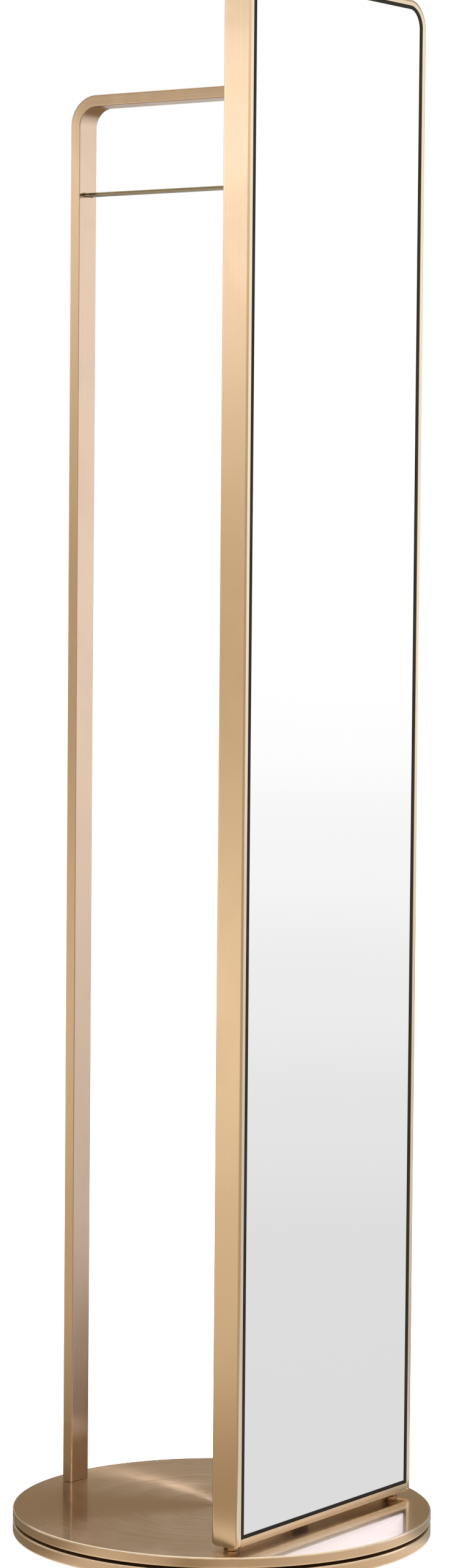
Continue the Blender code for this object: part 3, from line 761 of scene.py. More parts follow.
@dataclass(frozen=True)
class BrushedBrass(Finish):
    """Lacquered brass with fine brushing.

    Attributes:
        grain: Way that the brushing runs.
        colour: Colour of the metal.
        shade: Colour in the scratches.
        bright: Colour on the rubbed edges, which also stands for a painted edge highlight.
        polish: Roughness between the scratches.
        drag: Roughness in the scratches.
        scratch_span: Values of the brush lines between which roughness goes from one to the other.
        fineness: Lines per metre.
        stretch: Length of a line over its width.
        depth: Strength of the lines' relief.
        relief: Height of the lines' relief.
        mark_scale: Handling marks per metre.
        mark_drag: Roughness that handling marks add.
        anisotropy: How far gloss is drawn out across the brushing.
        drawn_turn: Share of a full turn between the grain and the way that gloss is drawn out.
        lacquer: Weight of the clear coat.
        lacquer_roughness: Roughness of the clear coat.
        flank: Tint of painted shade on a bar's narrow sides or a disc's rim, if any.
        painted_low_shade: Tint of painted shade that darkens the metal towards the floor, if any.
        painted_low_shade_from: Places along Y between which that painted shade fades in.
        painted_low_shade_fade: Heights between which it fades out.
        painted_low_shade_flank: How far the flanks are free of it, 0 to 1.
        painted_end_shade: Tint of painted shade at the far end of its grain map, where a piece
            meets another, if any.
        painted_end_shade_span: Lengths along the grain map between which that painted shade fades
            in.
    """

    slot: Slot = Slot.BRASS
    grain: Grain = Grain.LENGTHWISE
    colour: Colour = (0.92, 0.755, 0.545)
    shade: Colour = (0.90, 0.735, 0.525)
    bright: Colour = (0.94, 0.79, 0.59)
    polish: float = 0.14
    drag: float = 0.20
    scratch_span: Span = (0.15, 0.85)
    fineness: float = 9000.0
    stretch: float = 300.0
    depth: float = 0.02
    relief: float = 0.0004
    mark_scale: float = 9.0
    mark_drag: float = 0.05
    anisotropy: float = 0.75
    drawn_turn: float = 0.25
    lacquer: float = 0.0
    lacquer_roughness: float = 0.03
    flank: Colour | None = None
    painted_low_shade: Colour | None = None
    painted_low_shade_from: Span = (-1.0, -0.9)
    painted_low_shade_fade: Span = (0.075, 0.112)
    painted_low_shade_flank: float = 0.85
    painted_end_shade: Colour | None = None
    painted_end_shade_span: Span = (0.288, 0.298)

    def along_grain(self, bench: NodeBench, place: Socket) -> Socket:
        """Coordinates with Y across the brushing and X and Z along it.

        Round the axis they are the cosine, the radius plus the height, and the sine. Straight
        up they are the height, and the sum of the two other coordinates.

        Args:
            bench: Bench on the material's tree.
            place: Object coordinates.

        Returns:
            The vector socket.
        """
        if self.grain is Grain.LENGTHWISE:
            return bench.grain_map()
        x, y, z = bench.split(place)
        if self.grain is Grain.UPRIGHT:
            return bench.join(z, bench.math("ADD", x, y))
        least = 0.001
        radius = bench.length(bench.join(x, y))
        safe = bench.math("MAXIMUM", radius, least)
        cosine, sine = (bench.math("DIVIDE", part, safe) for part in (x, y))
        return bench.join(cosine, bench.math("ADD", radius, z), sine)

    def with_painted_shade(self, bench: NodeBench, place: Socket, colour: Socket) -> Socket:
        """Paint shade into the brushed metal as tints: on its flanks, towards the floor and at its
        far end.

        Args:
            bench: Bench on the material's tree.
            place: Object coordinates.
            colour: Colour of the brushed metal.

        Returns:
            The colour with its painted shade.
        """
        # Painted shade on the flanks: a darker tint for narrow sides and rims.
        if self.flank is not None:
            colour = bench.blend(bench.attribute(FLANK_ATTRIBUTE), colour, self.flank, "MULTIPLY")
        # Painted shade towards the floor, kept off the flanks and off the front part along Y.
        if self.painted_low_shade is not None:
            _, depth, height = bench.split(place)
            free = bench.product(bench.attribute(FLANK_ATTRIBUTE), self.painted_low_shade_flank)
            clearing = bench.math("MAXIMUM", bench.rise(height, self.painted_low_shade_fade), free)
            ahead = bench.remap(depth, self.painted_low_shade_from, (1.0, 0.0))
            clearing = bench.math("MAXIMUM", clearing, ahead)
            colour = bench.blend(clearing, bench.blend(1.0, colour, self.painted_low_shade, "MULTIPLY"), colour)
        # Painted shade at the far end of the grain map, where the rail meets the rear leg.
        if self.painted_end_shade is not None:
            share = bench.rise(bench.split(bench.grain_map())[0], self.painted_end_shade_span)
            colour = bench.blend(share, colour, self.painted_end_shade, "MULTIPLY")
        return colour

    def draw(self, bench: NodeBench, effects: SharedEffects) -> dict[str, object]:
        """Brushed lines in colour, roughness and relief, brighter edges and soft handling marks.

        The brighter edges are wear and a painted highlight, and tints add painted shade.

        Args:
            bench: Bench on the material's tree.
            effects: The shared groups.

        Returns:
            Values and sockets for the surface shader, by input name.
        """
        place = bench.place()
        inputs = {VECTOR_INPUT: self.along_grain(bench, place)}
        inputs |= {"Fineness": self.fineness, "Stretch": self.stretch}
        lines, height = bench.add("ShaderNodeGroup", inputs, node_tree=effects.grain).outputs
        # Painted shade tints go over the brushed colour.
        with_painted_shade = self.with_painted_shade(bench, place, bench.blend(lines, self.shade, self.colour))
        scratched = bench.remap(lines, self.scratch_span, (self.drag, self.polish))
        marks = effects.marks_on(bench, place, self.mark_scale)
        surface = {
            # The brighter edges stand for wear and a painted edge highlight.
            "Base Color": bench.blend(effects.wear_and_highlight_on(bench, place), with_painted_shade, self.bright),
            "Metallic": 1.0,
            "Roughness": bench.math("MULTIPLY_ADD", marks, self.mark_drag, scratched),
            "Normal": bench.bump(self.depth, self.relief, height),
            "Anisotropic": self.anisotropy, "Anisotropic Rotation": self.drawn_turn,
            "Coat Weight": self.lacquer, "Coat Roughness": self.lacquer_roughness,
        }
        if self.grain is Grain.LENGTHWISE:
            drawn = bench.get("ShaderNodeTangent", direction_type="UV_MAP", uv_map=GRAIN_MAP)
            surface["Tangent"] = drawn
        return surface


@dataclass(frozen=True)
class SilveredGlass(Finish):
    """A silvered mirror, faintly green where its ground edge shows.

    Attributes:
        colour: Colour of the silver behind the glass.
        wiped: Colour where the glass has been wiped.
        wipe_scale: Wiping marks per metre.
        rim: Colour of the ground edge.
    """

    slot: Slot = Slot.MIRROR
    colour: Colour = (0.965, 0.965, 0.962)
    wiped: Colour = (0.955, 0.957, 0.955)
    wipe_scale: float = 3.0
    rim: Colour = (0.20, 0.33, 0.27)

    def draw(self, bench: NodeBench, effects: SharedEffects) -> dict[str, object]:
        """Clear silver with faint wiping marks, and a green edge. A sharp mirror has no roughness.

        Args:
            bench: Bench on the material's tree.
            effects: The shared groups.

        Returns:
            Values and sockets for the surface shader, by input name.
        """
        marks = effects.marks_on(bench, bench.place(), self.wipe_scale)
        silver = bench.blend(marks, self.colour, self.wiped)
        colour = bench.blend(bench.attribute(EDGE_ATTRIBUTE), silver, self.rim)
        return {"Base Color": colour, "Metallic": 1.0, "Roughness": 0.0}


@dataclass(frozen=True)
class Moulded(Finish):
    """A dull moulded or pressed material with a fine mottle.

    Attributes:
        dark: Colour in the hollows.
        light: Colour on the tops.
        light_span: Values of the mottle and its marks between which dark goes to light.
        scale: Mottles per metre.
        mark_size: Size of a handling mark over that of a mottle.
        mark_share: How far handling marks lighten it.
        rough: Lowest and highest roughness.
        relief: Strength of the relief.
        relief_height: Height of the relief.
        gloss: Level of its specular reflection.
    """

    dark: Colour = (0.014, 0.013, 0.010)
    light: Colour = (0.030, 0.027, 0.021)
    light_span: Span = (0.3, 0.9)
    scale: float = 900.0
    mark_size: float = 40.0
    mark_share: float = 0.3
    rough: Span = (0.5, 0.75)
    relief: float = 0.15
    relief_height: float = 0.0003
    gloss: float = 0.2

    def draw(self, bench: NodeBench, effects: SharedEffects) -> dict[str, object]:
        """A mottle in colour, roughness and relief, with patches of handling.

        Args:
            bench: Bench on the material's tree.
            effects: The shared groups.

        Returns:
            Values and sockets for the surface shader, by input name.
        """
        place = bench.place()
        mottle = bench.noise(place, self.scale, detail=4.0, roughness=0.6)
        marks = effects.marks_on(bench, place, self.scale / self.mark_size)
        mixed = bench.math("MULTIPLY_ADD", marks, self.mark_share, mottle)
        return {
            "Base Color": bench.blend(bench.remap(mixed, self.light_span), self.dark, self.light),
            "Roughness": bench.remap(mottle, NOISE_MIDDLE, self.rough),
            "Normal": bench.bump(self.relief, self.relief_height, mottle),
            "Specular IOR Level": self.gloss,
        }


@dataclass(frozen=True)
class PlainMetal(Finish):
    """Plated steel or drawn alloy, with a fine spangle.

    Attributes:
        dark: Colour in the hollows.
        light: Colour on the tops.
        bright: Colour on the rubbed edges, which also stands for a painted edge highlight.
        scale: Spangles per metre.
        rough: Lowest and highest roughness.
    """

    dark: Colour = (0.42, 0.42, 0.43)
    light: Colour = (0.66, 0.66, 0.67)
    bright: Colour = (0.80, 0.80, 0.80)
    scale: float = 500.0
    rough: Span = (0.22, 0.42)

    def draw(self, bench: NodeBench, effects: SharedEffects) -> dict[str, object]:
        """A spangle in colour and roughness, and brighter edges for wear and a painted highlight.

        Args:
            bench: Bench on the material's tree.
            effects: The shared groups.

        Returns:
            Values and sockets for the surface shader, by input name.
        """
        place = bench.place()
        spangle = bench.noise(place, self.scale, detail=3.0, roughness=0.55)
        plated = bench.blend(bench.remap(spangle, NOISE_MIDDLE), self.dark, self.light)
        colour = bench.blend(effects.wear_and_highlight_on(bench, place), plated, self.bright)
        roughness = bench.remap(spangle, NOISE_MIDDLE, self.rough)
        return {"Base Color": colour, "Metallic": 1.0, "Roughness": roughness}


class FinishShelf:
    """Makes each finish's material once and hands it out."""

    def __init__(self) -> None:
        """Start with the shared groups and no materials."""
        self.effects = SharedEffects()
        self.made: dict[Finish, bpy.types.Material] = {}

    def material(self, finish: Finish) -> bpy.types.Material:
        """Return a finish's material, making it the first time.

        Args:
            finish: The finish.

        Returns:
            Its material.
        """
        if finish not in self.made:
            self.made[finish] = finish.make(self.effects)
        return self.made[finish]


BAR_BRASS = BrushedBrass("bar_brass")
# Its flank tint paints shade on the discs' rims.
DISC_BRASS = BrushedBrass(
    "disc_brass", grain=Grain.CIRCULAR, colour=(0.90, 0.71, 0.52), shade=(0.85, 0.66, 0.475),
    polish=0.06, drag=0.24, stretch=2500.0, depth=0.006, anisotropy=1.0, lacquer=1.0,
    flank=(0.82, 0.82, 0.80),
)
# A darker, pinker copy of the bar brass, as painted shade for the legs' dimmer look. Its flank tint
# is painted shade, and the rear leg gets painted shade towards the floor.
TUBE_BRASS = BrushedBrass(
    "tube_brass", colour=(0.81, 0.62, 0.48), shade=(0.78, 0.59, 0.45), bright=(0.80, 0.63, 0.48),
    polish=0.16, drag=0.25, flank=(0.87, 0.92, 0.82), painted_low_shade=(0.43, 0.345, 0.225),
    painted_low_shade_from=(0.0, 0.1),
)
# A darker copy of the bar brass, as painted shade on the sill. Its lower part gets more painted
# shade, and its brighter edges are partly a painted top-edge highlight.
SILL_BRASS = BrushedBrass(
    "sill_brass", colour=(0.70, 0.55, 0.355), shade=(0.68, 0.53, 0.34), bright=(0.72, 0.57, 0.375),
    painted_low_shade=(0.62, 0.57, 0.48), painted_low_shade_fade=(0.0385, 0.0475), painted_low_shade_flank=0.0,
)
# A darker, greyer copy of the brass, as painted shade on the thin rail, with painted shade on its
# flanks and where it meets the rear leg.
RAIL_BRASS = BrushedBrass(
    "rail_brass", colour=(0.56, 0.51, 0.36), shade=(0.51, 0.46, 0.325), bright=(0.56, 0.51, 0.36),
    polish=0.22, drag=0.34, flank=(0.62, 0.60, 0.54), painted_end_shade=(0.15, 0.10, 0.075),
)
# A dark copy of the brass, as painted shade for the spacers in the gap under the sill.
SPACER_BRASS = BrushedBrass(
    "spacer_brass", colour=(0.42, 0.29, 0.16), shade=(0.36, 0.25, 0.135), bright=(0.55, 0.40, 0.24),
)
SHEET_BRASS = BrushedBrass("sheet_brass", grain=Grain.UPRIGHT, polish=0.18, drag=0.36)
SILVER = SilveredGlass("silvered_glass")
SEAL_RUBBER = Moulded("seal_rubber", Slot.SEAL)
PAD_RUBBER = Moulded(
    "pad_rubber", Slot.RUBBER, dark=(0.018, 0.018, 0.018), light=(0.05, 0.05, 0.05)
)
CORE_BOARD = Moulded(
    "core_board", Slot.FIBREBOARD, dark=(0.30, 0.20, 0.12), light=(0.50, 0.37, 0.25), scale=420.0,
    rough=(0.7, 0.9), relief=0.3,
)
PLATED_STEEL = PlainMetal("plated_steel", Slot.STEEL)
RING_ALLOY = PlainMetal(
    "ring_alloy", Slot.ALLOY, dark=(0.62, 0.63, 0.65), light=(0.80, 0.81, 0.83), rough=(0.28, 0.45)
)


# Sub-assemblies


def place_object(name: str, data: bpy.types.ID) -> bpy.types.Object:
    """Put a mesh, a lamp or a camera into the scene.

    Args:
        name: Name of the object.
        data: What it holds.

    Returns:
        The object.
    """
    item = bpy.data.objects.new(name, data)
    bpy.context.scene.collection.objects.link(item)
    return item


def numbered(stem: str, count: int) -> list[str]:
    """Names from stem_1 up to the count."""
    return [f"{stem}_{number}" for number in range(1, count + 1)]


@dataclass
class SubAssembly(ABC):
    """One sub-assembly of the stand.

    Attributes:
        shelf: Where its finishes come from.
        nodes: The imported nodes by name.
        body: The body that its pieces ride on.
    """

    shelf: FinishShelf
    nodes: dict[str, bpy.types.Object]
    body: Body = Body.TURNTABLE

    @abstractmethod
    def build(self) -> None:
        """Make the sub-assembly's own surfaces."""

    @abstractmethod
    def dress(self) -> None:
        """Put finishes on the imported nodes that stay."""

    def add(self, name: str, surface: Surface, finish: Finish, stands_for: str) -> None:
        """Make a piece that rides on the body.

        Args:
            name: Name of the piece.
            surface: Its surface.
            finish: Its finish.
            stands_for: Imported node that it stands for.
        """
        mesh = surface.mesh(name)
        mesh.materials.append(self.shelf.material(finish))
        piece = place_object(name, mesh)
        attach(piece, self.body.value)
        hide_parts(stands_for)
        count = len(mesh.polygons)
        LOG.info("%s: %d faces of %s, rides on %s", name, count, finish.name, self.body.value)

    def coat(self, finish: Finish, *names: str) -> None:
        """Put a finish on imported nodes.

        Args:
            finish: The finish.
            names: The nodes' names.
        """
        for name in names:
            materials = self.nodes[name].data.materials
            materials.clear()
            materials.append(self.shelf.material(finish))
            LOG.info("%s: packed node in %s", name, finish.name)


@dataclass
class BaseDisc(SubAssembly):
    """What the two discs of the base have in common."""

    radius: float = 0.250
    rounding: float = 0.0018
    middle: float = 0.020
    segments: int = 288
    screw_count: int = 4


@dataclass
class FixedBase(BaseDisc):
    """The heavy floor disc on its pads, with the fixed half of the ring bearing."""

    body: Body = Body.FIXED_BASE
    low: float = 0.0025
    high: float = 0.016
    recess_radius: float = 0.1455
    recess_floor: float = 0.013
    pad_radius: float = 0.014
    pad_height: float = 0.0022
    pad_rounding: float = 0.0006
    pad_rounding_steps: int = 3
    pad_segments: int = 48
    pad_circle: float = 0.224
    pad_count: int = 6

    def build(self) -> None:
        """Turn the disc with its bearing recess, and the six pads."""
        rim, edge = rim_profile(self.radius, self.low, self.high, self.rounding)
        recess = [[self.middle, self.recess_floor], [self.recess_radius, self.recess_floor]]
        recess.append([self.recess_radius, self.high])
        profile = np.concatenate([recess, rim, [[self.middle, self.low]]])
        disc = lathe(profile, self.segments, np.pad(edge, (len(recess), 1)))
        self.add("turned_floor_disc", disc, DISC_BRASS, "floor_disc")

        steps = self.pad_rounding_steps
        rim, edge = rim_profile(self.pad_radius, 0.0, self.pad_height, self.pad_rounding, steps)
        pad = lathe(rim, self.pad_segments, edge)
        angles = circle_angles(self.pad_count)
        directions = np.stack([np.cos(angles), np.sin(angles), np.zeros_like(angles)], axis=-1)
        spots = self.pad_circle * directions
        for node, spot in zip(numbered("glide_pad", self.pad_count), spots):
            self.add(f"moulded_{node}", pad.moved(spot), PAD_RUBBER, node)

    def dress(self) -> None:
        """Finish the fixed ring and its screws."""
        self.coat(RING_ALLOY, "bearing_inner_ring")
        self.coat(PLATED_STEEL, *numbered("inner_ring_screw", self.screw_count))


@dataclass
class BallRing(SubAssembly):
    """The balls in their cage, between the two bearing rings."""

    body: Body = Body.BALL_RING

    def build(self) -> None:
        """Nothing of its own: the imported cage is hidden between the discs."""

    def dress(self) -> None:
        """Finish the cage and its balls."""
        self.coat(PLATED_STEEL, "ball_cage")


@dataclass
class Turntable(BaseDisc):
    """The turning disc: a brass pan over a board core, on the bearing's outer ring."""

    low: float = 0.0195
    high: float = 0.032
    sheet: float = 0.0025

    def build(self) -> None:
        """Turn the pan: over the top, round the rim and back along the inside."""
        rim, edge = rim_profile(self.radius, self.low, self.high, self.rounding)
        wall, ceiling = self.radius - self.sheet, self.high - self.sheet
        inside = [[wall, self.low], [wall, ceiling], [self.middle, ceiling]]
        profile = np.concatenate([[[self.middle, self.high]], rim[:-1], inside])
        pan = lathe(profile, self.segments, np.pad(edge[:-1], (1, len(inside))))
        self.add("turned_pan", pan, DISC_BRASS, "turntable_pan")

    def dress(self) -> None:
        """Finish the core, the turning ring and the fasteners under the disc."""
        self.coat(CORE_BOARD, "turntable_core")
        self.coat(RING_ALLOY, "bearing_outer_ring")
        self.coat(PLATED_STEEL, *numbered("outer_ring_screw", self.screw_count))
        bolts = ("leg_bolt_front", "leg_bolt_rear", "spacer_bolt")
        self.coat(PLATED_STEEL, *(f"{bolt}_{side}" for bolt in bolts for side in ("left", "right")))


@dataclass(frozen=True)
class Fastener:
    """A bolt or screw with a domed head.

    Attributes:
        head_radius: Radius of the head.
        head_height: Height of the head.
        shank_radius: Radius of the shank.
        length: Length under the head.
        drive: Shape of the recess.
        drive_size: Half width of the recess.
        segments: Steps round the fastener.
        dome_steps: Steps over the dome.
        crown: Radius at which the dome starts, over the head's.
        brim: Height at which the dome ends, over the head's.
        floor: Height of the recess's floor, over the head's.
        core: Least radius of a cross recess, over its greatest.
        slimness: Power that gives a cross recess its slim wings.
        grain_step: Length on the grain map between rows and between columns.
    """

    head_radius: float
    head_height: float
    shank_radius: float
    length: float
    drive: Drive
    drive_size: float
    segments: int = 48
    dome_steps: int = 6
    crown: float = 0.62
    brim: float = 0.35
    floor: float = 0.45
    core: float = 0.34
    slimness: int = 6
    grain_step: float = 0.001

    def recess(self, angles: Array) -> Array:
        """Radius of the head's recess at each angle.

        A hexagon's radius is its half width over the cosine of the angle from the nearest flat's
        middle. A cross's is a small core plus a power of the cosine of twice the angle.

        Args:
            angles: Angles round the head.

        Returns:
            One radius for each angle.
        """
        if self.drive is Drive.HEXAGON:
            flat = FULL_TURN / 6
            return self.drive_size / np.cos(np.mod(angles, flat) - flat / 2)
        wings = np.abs(np.cos(2 * angles)) ** self.slimness
        return self.drive_size * (self.core + (1 - self.core) * wings)

    def surface(self, spot: Sequence[float]) -> Surface:
        """The fastener with its head towards +Y.

        From the recess's floor the rows go up its wall, over the dome, whose radius follows a
        cosine and height a sine, in under the head and down the shank.

        Args:
            spot: Middle of the head's underside.

        Returns:
            The closed surface.
        """
        angles = circle_angles(self.segments)
        bend = np.linspace(QUARTER_TURN, 0, self.dome_steps + 1)
        radii = self.head_radius * (self.crown + (1 - self.crown) * np.cos(bend))
        heights = self.head_height * (self.brim + (1 - self.brim) * np.sin(bend))
        radii = np.append(radii, [self.head_radius, self.shank_radius, self.shank_radius])
        heights = np.append(heights, [0.0, 0.0, -self.length])
        recess_heights = self.head_height * np.array([self.floor, 1.0])
        heights = np.append(recess_heights, heights)[:, None]
        turned = np.repeat(radii[:, None], self.segments, axis=1)
        radii = np.concatenate([[self.recess(angles)] * 2, turned])
        points = np.broadcast_arrays(radii * np.cos(angles), heights, radii * np.sin(angles))
        lip = (np.arange(len(heights)) == 1).astype(float)[:, None]
        along = np.arange(len(heights)) * self.grain_step
        across = np.arange(self.segments + 1) * self.grain_step
        return Surface(np.stack(points, axis=-1), along, across, lip).moved(spot)


@dataclass
class MirrorPanel(SubAssembly):
    """The mirror in its deep brass frame, with its backing, on two spacers."""

    half_width: float = 0.1825
    low: float = 0.038
    high: float = 1.8235
    front: float = -0.1504
    back: float = -0.114
    corner: float = 0.034
    band: float = 0.0078
    sill: float = 0.0097
    inner_rounding: float = 0.0006
    outer_rounding: float = 0.0026
    sill_rounding: float = 0.0018
    end_rounding: float = 0.004
    end_steps: int = 6
    sill_clearance: float = 0.00005
    seat: float = 0.0003
    bend_steps: int = 24
    glass_front: float = -0.1497
    glass_back: float = -0.1457
    glass_inset: float = 0.0021
    arris: float = 0.0004
    lip_front: float = -0.1502
    lip_back: float = -0.1498
    lip_width: float = 0.0056
    level_share: float = 0.75
    strip_wall: float = 0.0018
    cover: float = 0.0012
    spacer_radius: float = 0.009
    spacer_bore: float = 0.0033
    spacer_low: float = 0.0323
    spacer_high: float = 0.0377
    spacer_rounding: float = 0.0005
    spacer_rounding_steps: int = 3
    spacer_segments: int = 72
    spacer_place: tuple[float, float] = (0.1665, -0.131)
    screw_reach: float = 0.1425
    screw: Fastener = field(
        default_factory=lambda: Fastener(0.0038, 0.0018, 0.002, 0.0075, Drive.CROSS, 0.0021)
    )

    def sight(self, insets: Array) -> Array:
        """Outlines inside the frame: two square corners below, two quarter circles above.

        Each inset moves the sides in and takes itself off the circles' reach sideways. A share of
        it does the same at the top and bottom.

        Args:
            insets: Distance of each outline from the frame, shape (rows,).

        Returns:
            Outlines of shape (rows, columns, 2), as x and z.
        """
        inset = insets[:, None]
        level = self.level_share * inset
        side, radius = self.half_width - self.band - inset, self.corner - self.band
        middle, shoulder = self.half_width - self.corner, self.high - self.corner
        quarter = np.linspace(0, QUARTER_TURN, self.bend_steps + 1)
        x = np.concatenate([side, middle + (radius - inset) * np.cos(quarter)], axis=1)
        floor = self.low + self.sill + level
        z = np.concatenate([floor, shoulder + (radius - level) * np.sin(quarter)], axis=1)
        right = np.stack([x, z], axis=-1)
        return np.concatenate([right, right[:, ::-1] * [-1, 1]], axis=1)

    def build(self) -> None:
        """Make the frame, the strip, the glass, the cover, the spacers and the cover's screws."""
        self.build_frame()
        self.build_glass()
        self.build_back()
        self.build_spacers()

    def build_frame(self) -> None:
        """Bend the band and lay the sill between its ends.

        Near an end the band's depth narrows, so that its front and back edges turn in by a
        quarter circle.
        """
        depth, middle = self.back - self.front, (self.front + self.back) / 2
        roundings = (self.outer_rounding, self.inner_rounding)
        section, edge = rounded_rectangle(self.band, depth, *roundings)
        half, radius = self.band / 2, self.end_rounding
        span, bottom, top = self.half_width - half, self.low + radius, self.high - half
        path, outward = arch(span, bottom, top, self.corner - half, self.bend_steps)
        turn = np.linspace(0, QUARTER_TURN, self.end_steps + 1)[:-1]
        end = np.stack([np.full_like(turn, span), self.low + radius * (1 - np.cos(turn))], axis=-1)
        narrow = 1 - radius * (1 - np.sin(turn)) / (depth / 2)
        depths = np.concatenate([narrow, np.ones(len(path)), narrow[::-1]])
        narrowed = section * np.stack([np.ones_like(depths), depths], axis=-1)[:, None]
        line = np.insert(np.concatenate([end, path, end[::-1] * [-1, 1]]), 1, middle, axis=1)
        outward = np.pad(outward, ((len(end), len(end)), (0, 0)), "edge")
        band = sweep(narrowed, edge, line, np.insert(outward, 1, 0.0, axis=1), Y_AXIS)
        self.add("bent_band", band, BAR_BRASS, "mirror_frame")

        section, edge = rounded_rectangle(self.sill, depth, self.inner_rounding, self.sill_rounding)
        reach = self.half_width - self.band - self.sill_clearance
        line = np.array([[x, middle, self.low + self.sill / 2] for x in (-reach, reach)])
        sill = sweep(section, edge, line, Z_AXIS, Y_AXIS)
        self.add("frame_sill", sill, SILL_BRASS, "mirror_bottom_rail")

    def build_glass(self) -> None:
        """Make the black strip round the glass, and the glass with its ground edge."""
        front, back, end = self.lip_front, self.lip_back, self.glass_back
        seat, lip, wall = self.seat, self.lip_width, self.strip_wall
        soft = (back - front) / 4
        insets = np.array([seat, seat + soft, lip - soft, lip, lip, wall, wall, seat])
        depths = np.array([front + soft, front, front, front + soft, back, back, end, end])
        strip = plate(self.sight(insets), depths, ring=True)
        self.add("edge_strip", strip, SEAL_RUBBER, "mirror_seal")

        insets = self.glass_inset + self.arris * np.array([2.0, 1.0, 0.0, 0.0, 1.0, 2.0])
        depths = self.arris * np.array([0.0, 0.0, 1.0, -1.0, 0.0, 0.0])
        depths += np.repeat([self.glass_front, self.glass_back], 3)
        glass = plate(self.sight(insets), depths, edge=(0.0, 0.0, 1.0, 1.0, 0.0, 0.0))
        self.add("silvered_pane", glass, SILVER, "mirror_glass")

    def build_back(self) -> None:
        """Make the cover sheet behind, with its screws."""
        arris = self.cover / 4
        insets = np.array([0.0, 0.0, arris, 2 * arris]) + self.seat
        depths = np.array([-self.cover, -arris, 0.0, 0.0]) + self.back
        cover = plate(self.sight(insets), depths, edge=(0.0, 0.0, 1.0, 0.0))
        self.add("rear_cover", cover, SHEET_BRASS, "back_panel")
        sides = (-self.screw_reach, self.screw_reach)
        spots = [(x, height) for height in BAR_HEIGHTS for x in sides]
        for node, (x, height) in zip(numbered("panel_screw", len(spots)), spots):
            screw = self.screw.surface((x, self.back + self.seat, height))
            self.add(f"domed_{node}", screw, PLATED_STEEL, node)

    def build_spacers(self) -> None:
        """Turn the two spacers that the frame stands on."""
        low, high = self.spacer_low, self.spacer_high
        rounding, steps = self.spacer_rounding, self.spacer_rounding_steps
        rim, edge = rim_profile(self.spacer_radius, low, high, rounding, steps)
        bore = [[self.spacer_bore, low], [self.spacer_bore, high]]
        profile = np.concatenate([rim, bore])
        spacer = lathe(profile, self.spacer_segments, np.pad(edge, (0, len(bore))), ring=True)
        across, depth = self.spacer_place
        for side, sign in (("left", -1), ("right", 1)):
            moved = spacer.moved((sign * across, depth, 0.0))
            self.add(f"turned_spacer_{side}", moved, SPACER_BRASS, f"mirror_spacer_{side}")

    def dress(self) -> None:
        """Finish the board, the cleats and the bars inside the frame."""
        self.coat(CORE_BOARD, "backing_board")
        self.coat(PLATED_STEEL, "board_cleat_left", "board_cleat_right")
        self.coat(PLATED_STEEL, "cross_bar_lower", "cross_bar_middle", "cross_bar_upper")


@dataclass
class HangingFrame(SubAssembly):
    """The frame bent from flat tube behind the mirror, with its hanging rail."""

    front: float = -0.1137
    back: float = 0.2273
    low: float = 0.0323
    high: float = 1.715
    width: float = 0.034
    thickness: float = 0.0135
    wall: float = 0.0015
    rounding: float = 0.0012
    bend: float = 0.037
    bend_steps: int = 24
    rail_height: float = 1.598
    rail_width: float = 0.020
    rail_thickness: float = 0.0035
    rail_rounding: float = 0.0008
    weld: float = 0.0007
    weld_steps: int = 6
    bolt_seat: float = 0.0003
    bolt: Fastener = field(
        default_factory=lambda: Fastener(0.00525, 0.0033, 0.003, 0.0213, Drive.HEXAGON, 0.0020)
    )

    def build(self) -> None:
        """Make the tube, the rail and the bolts that tie the front leg to the mirror."""
        self.build_tube()
        self.build_rail()
        self.build_bolts()

    def build_tube(self) -> None:
        """Bend the tube: an outer and an inner skin along the same arch."""
        half = self.thickness / 2
        middle, half_span = (self.front + self.back) / 2, (self.back - self.front) / 2 - half
        top, radius = self.high - half, self.bend - half
        path, outward = arch(half_span, self.low, top, radius, self.bend_steps)
        line = np.insert(path + [middle, 0.0], 0, 0.0, axis=1)
        direction = np.insert(outward, 0, 0.0, axis=1)
        skins = []
        for shrink, rounding in ((0.0, self.rounding), (2 * self.wall, self.rounding / 2)):
            sizes = (self.thickness - shrink, self.width - shrink)
            section, edge = rounded_rectangle(*sizes, rounding)
            skins.append(sweep(section, edge, line, direction, X_AXIS))
        self.add("bent_tube", hollow(*skins), TUBE_BRASS, "hanger_frame")

    def build_rail(self) -> None:
        """Lay the flat rail between the legs, with a weld fillet at each end.

        The section grows near a leg by the weld's radius minus the height of its quarter circle.
        """
        start, stop = self.front + self.thickness, self.back - self.thickness
        lead = self.weld * (1 - np.cos(np.linspace(0, QUARTER_TURN, self.weld_steps + 1)))
        places = np.concatenate([start + lead, (stop - lead)[::-1]])
        near = np.concatenate([lead, lead[::-1]])
        growth = self.weld - np.sqrt(np.maximum(self.weld**2 - (self.weld - near) ** 2, 0.0))
        section, edge = rounded_rectangle(self.rail_thickness, self.rail_width, self.rail_rounding)
        grown = section + np.sign(section) * growth[:, None, None]
        line = np.stack(np.broadcast_arrays(0.0, places, self.rail_height), axis=-1)
        self.add("welded_rail", sweep(grown, edge, line, Z_AXIS, X_AXIS), RAIL_BRASS, "hanger_rail")

    def build_bolts(self) -> None:
        """Make the three bolts on the front leg's inner face."""
        seat = self.front + self.thickness + self.bolt_seat
        for name, height in zip(("lower", "middle", "upper"), BAR_HEIGHTS):
            bolt = self.bolt.surface((0.0, seat, height))
            self.add(f"socket_bolt_{name}", bolt, PLATED_STEEL, f"tie_bolt_{name}")

    def dress(self) -> None:
        """Finish the plugs in the tube's ends."""
        self.coat(PLATED_STEEL, "leg_plug_front", "leg_plug_rear")


# Tones of the stage

WARMING = (1.0, 1.12, 1.35)
AMBER_TINT = (1.02, 0.87, 0.73)


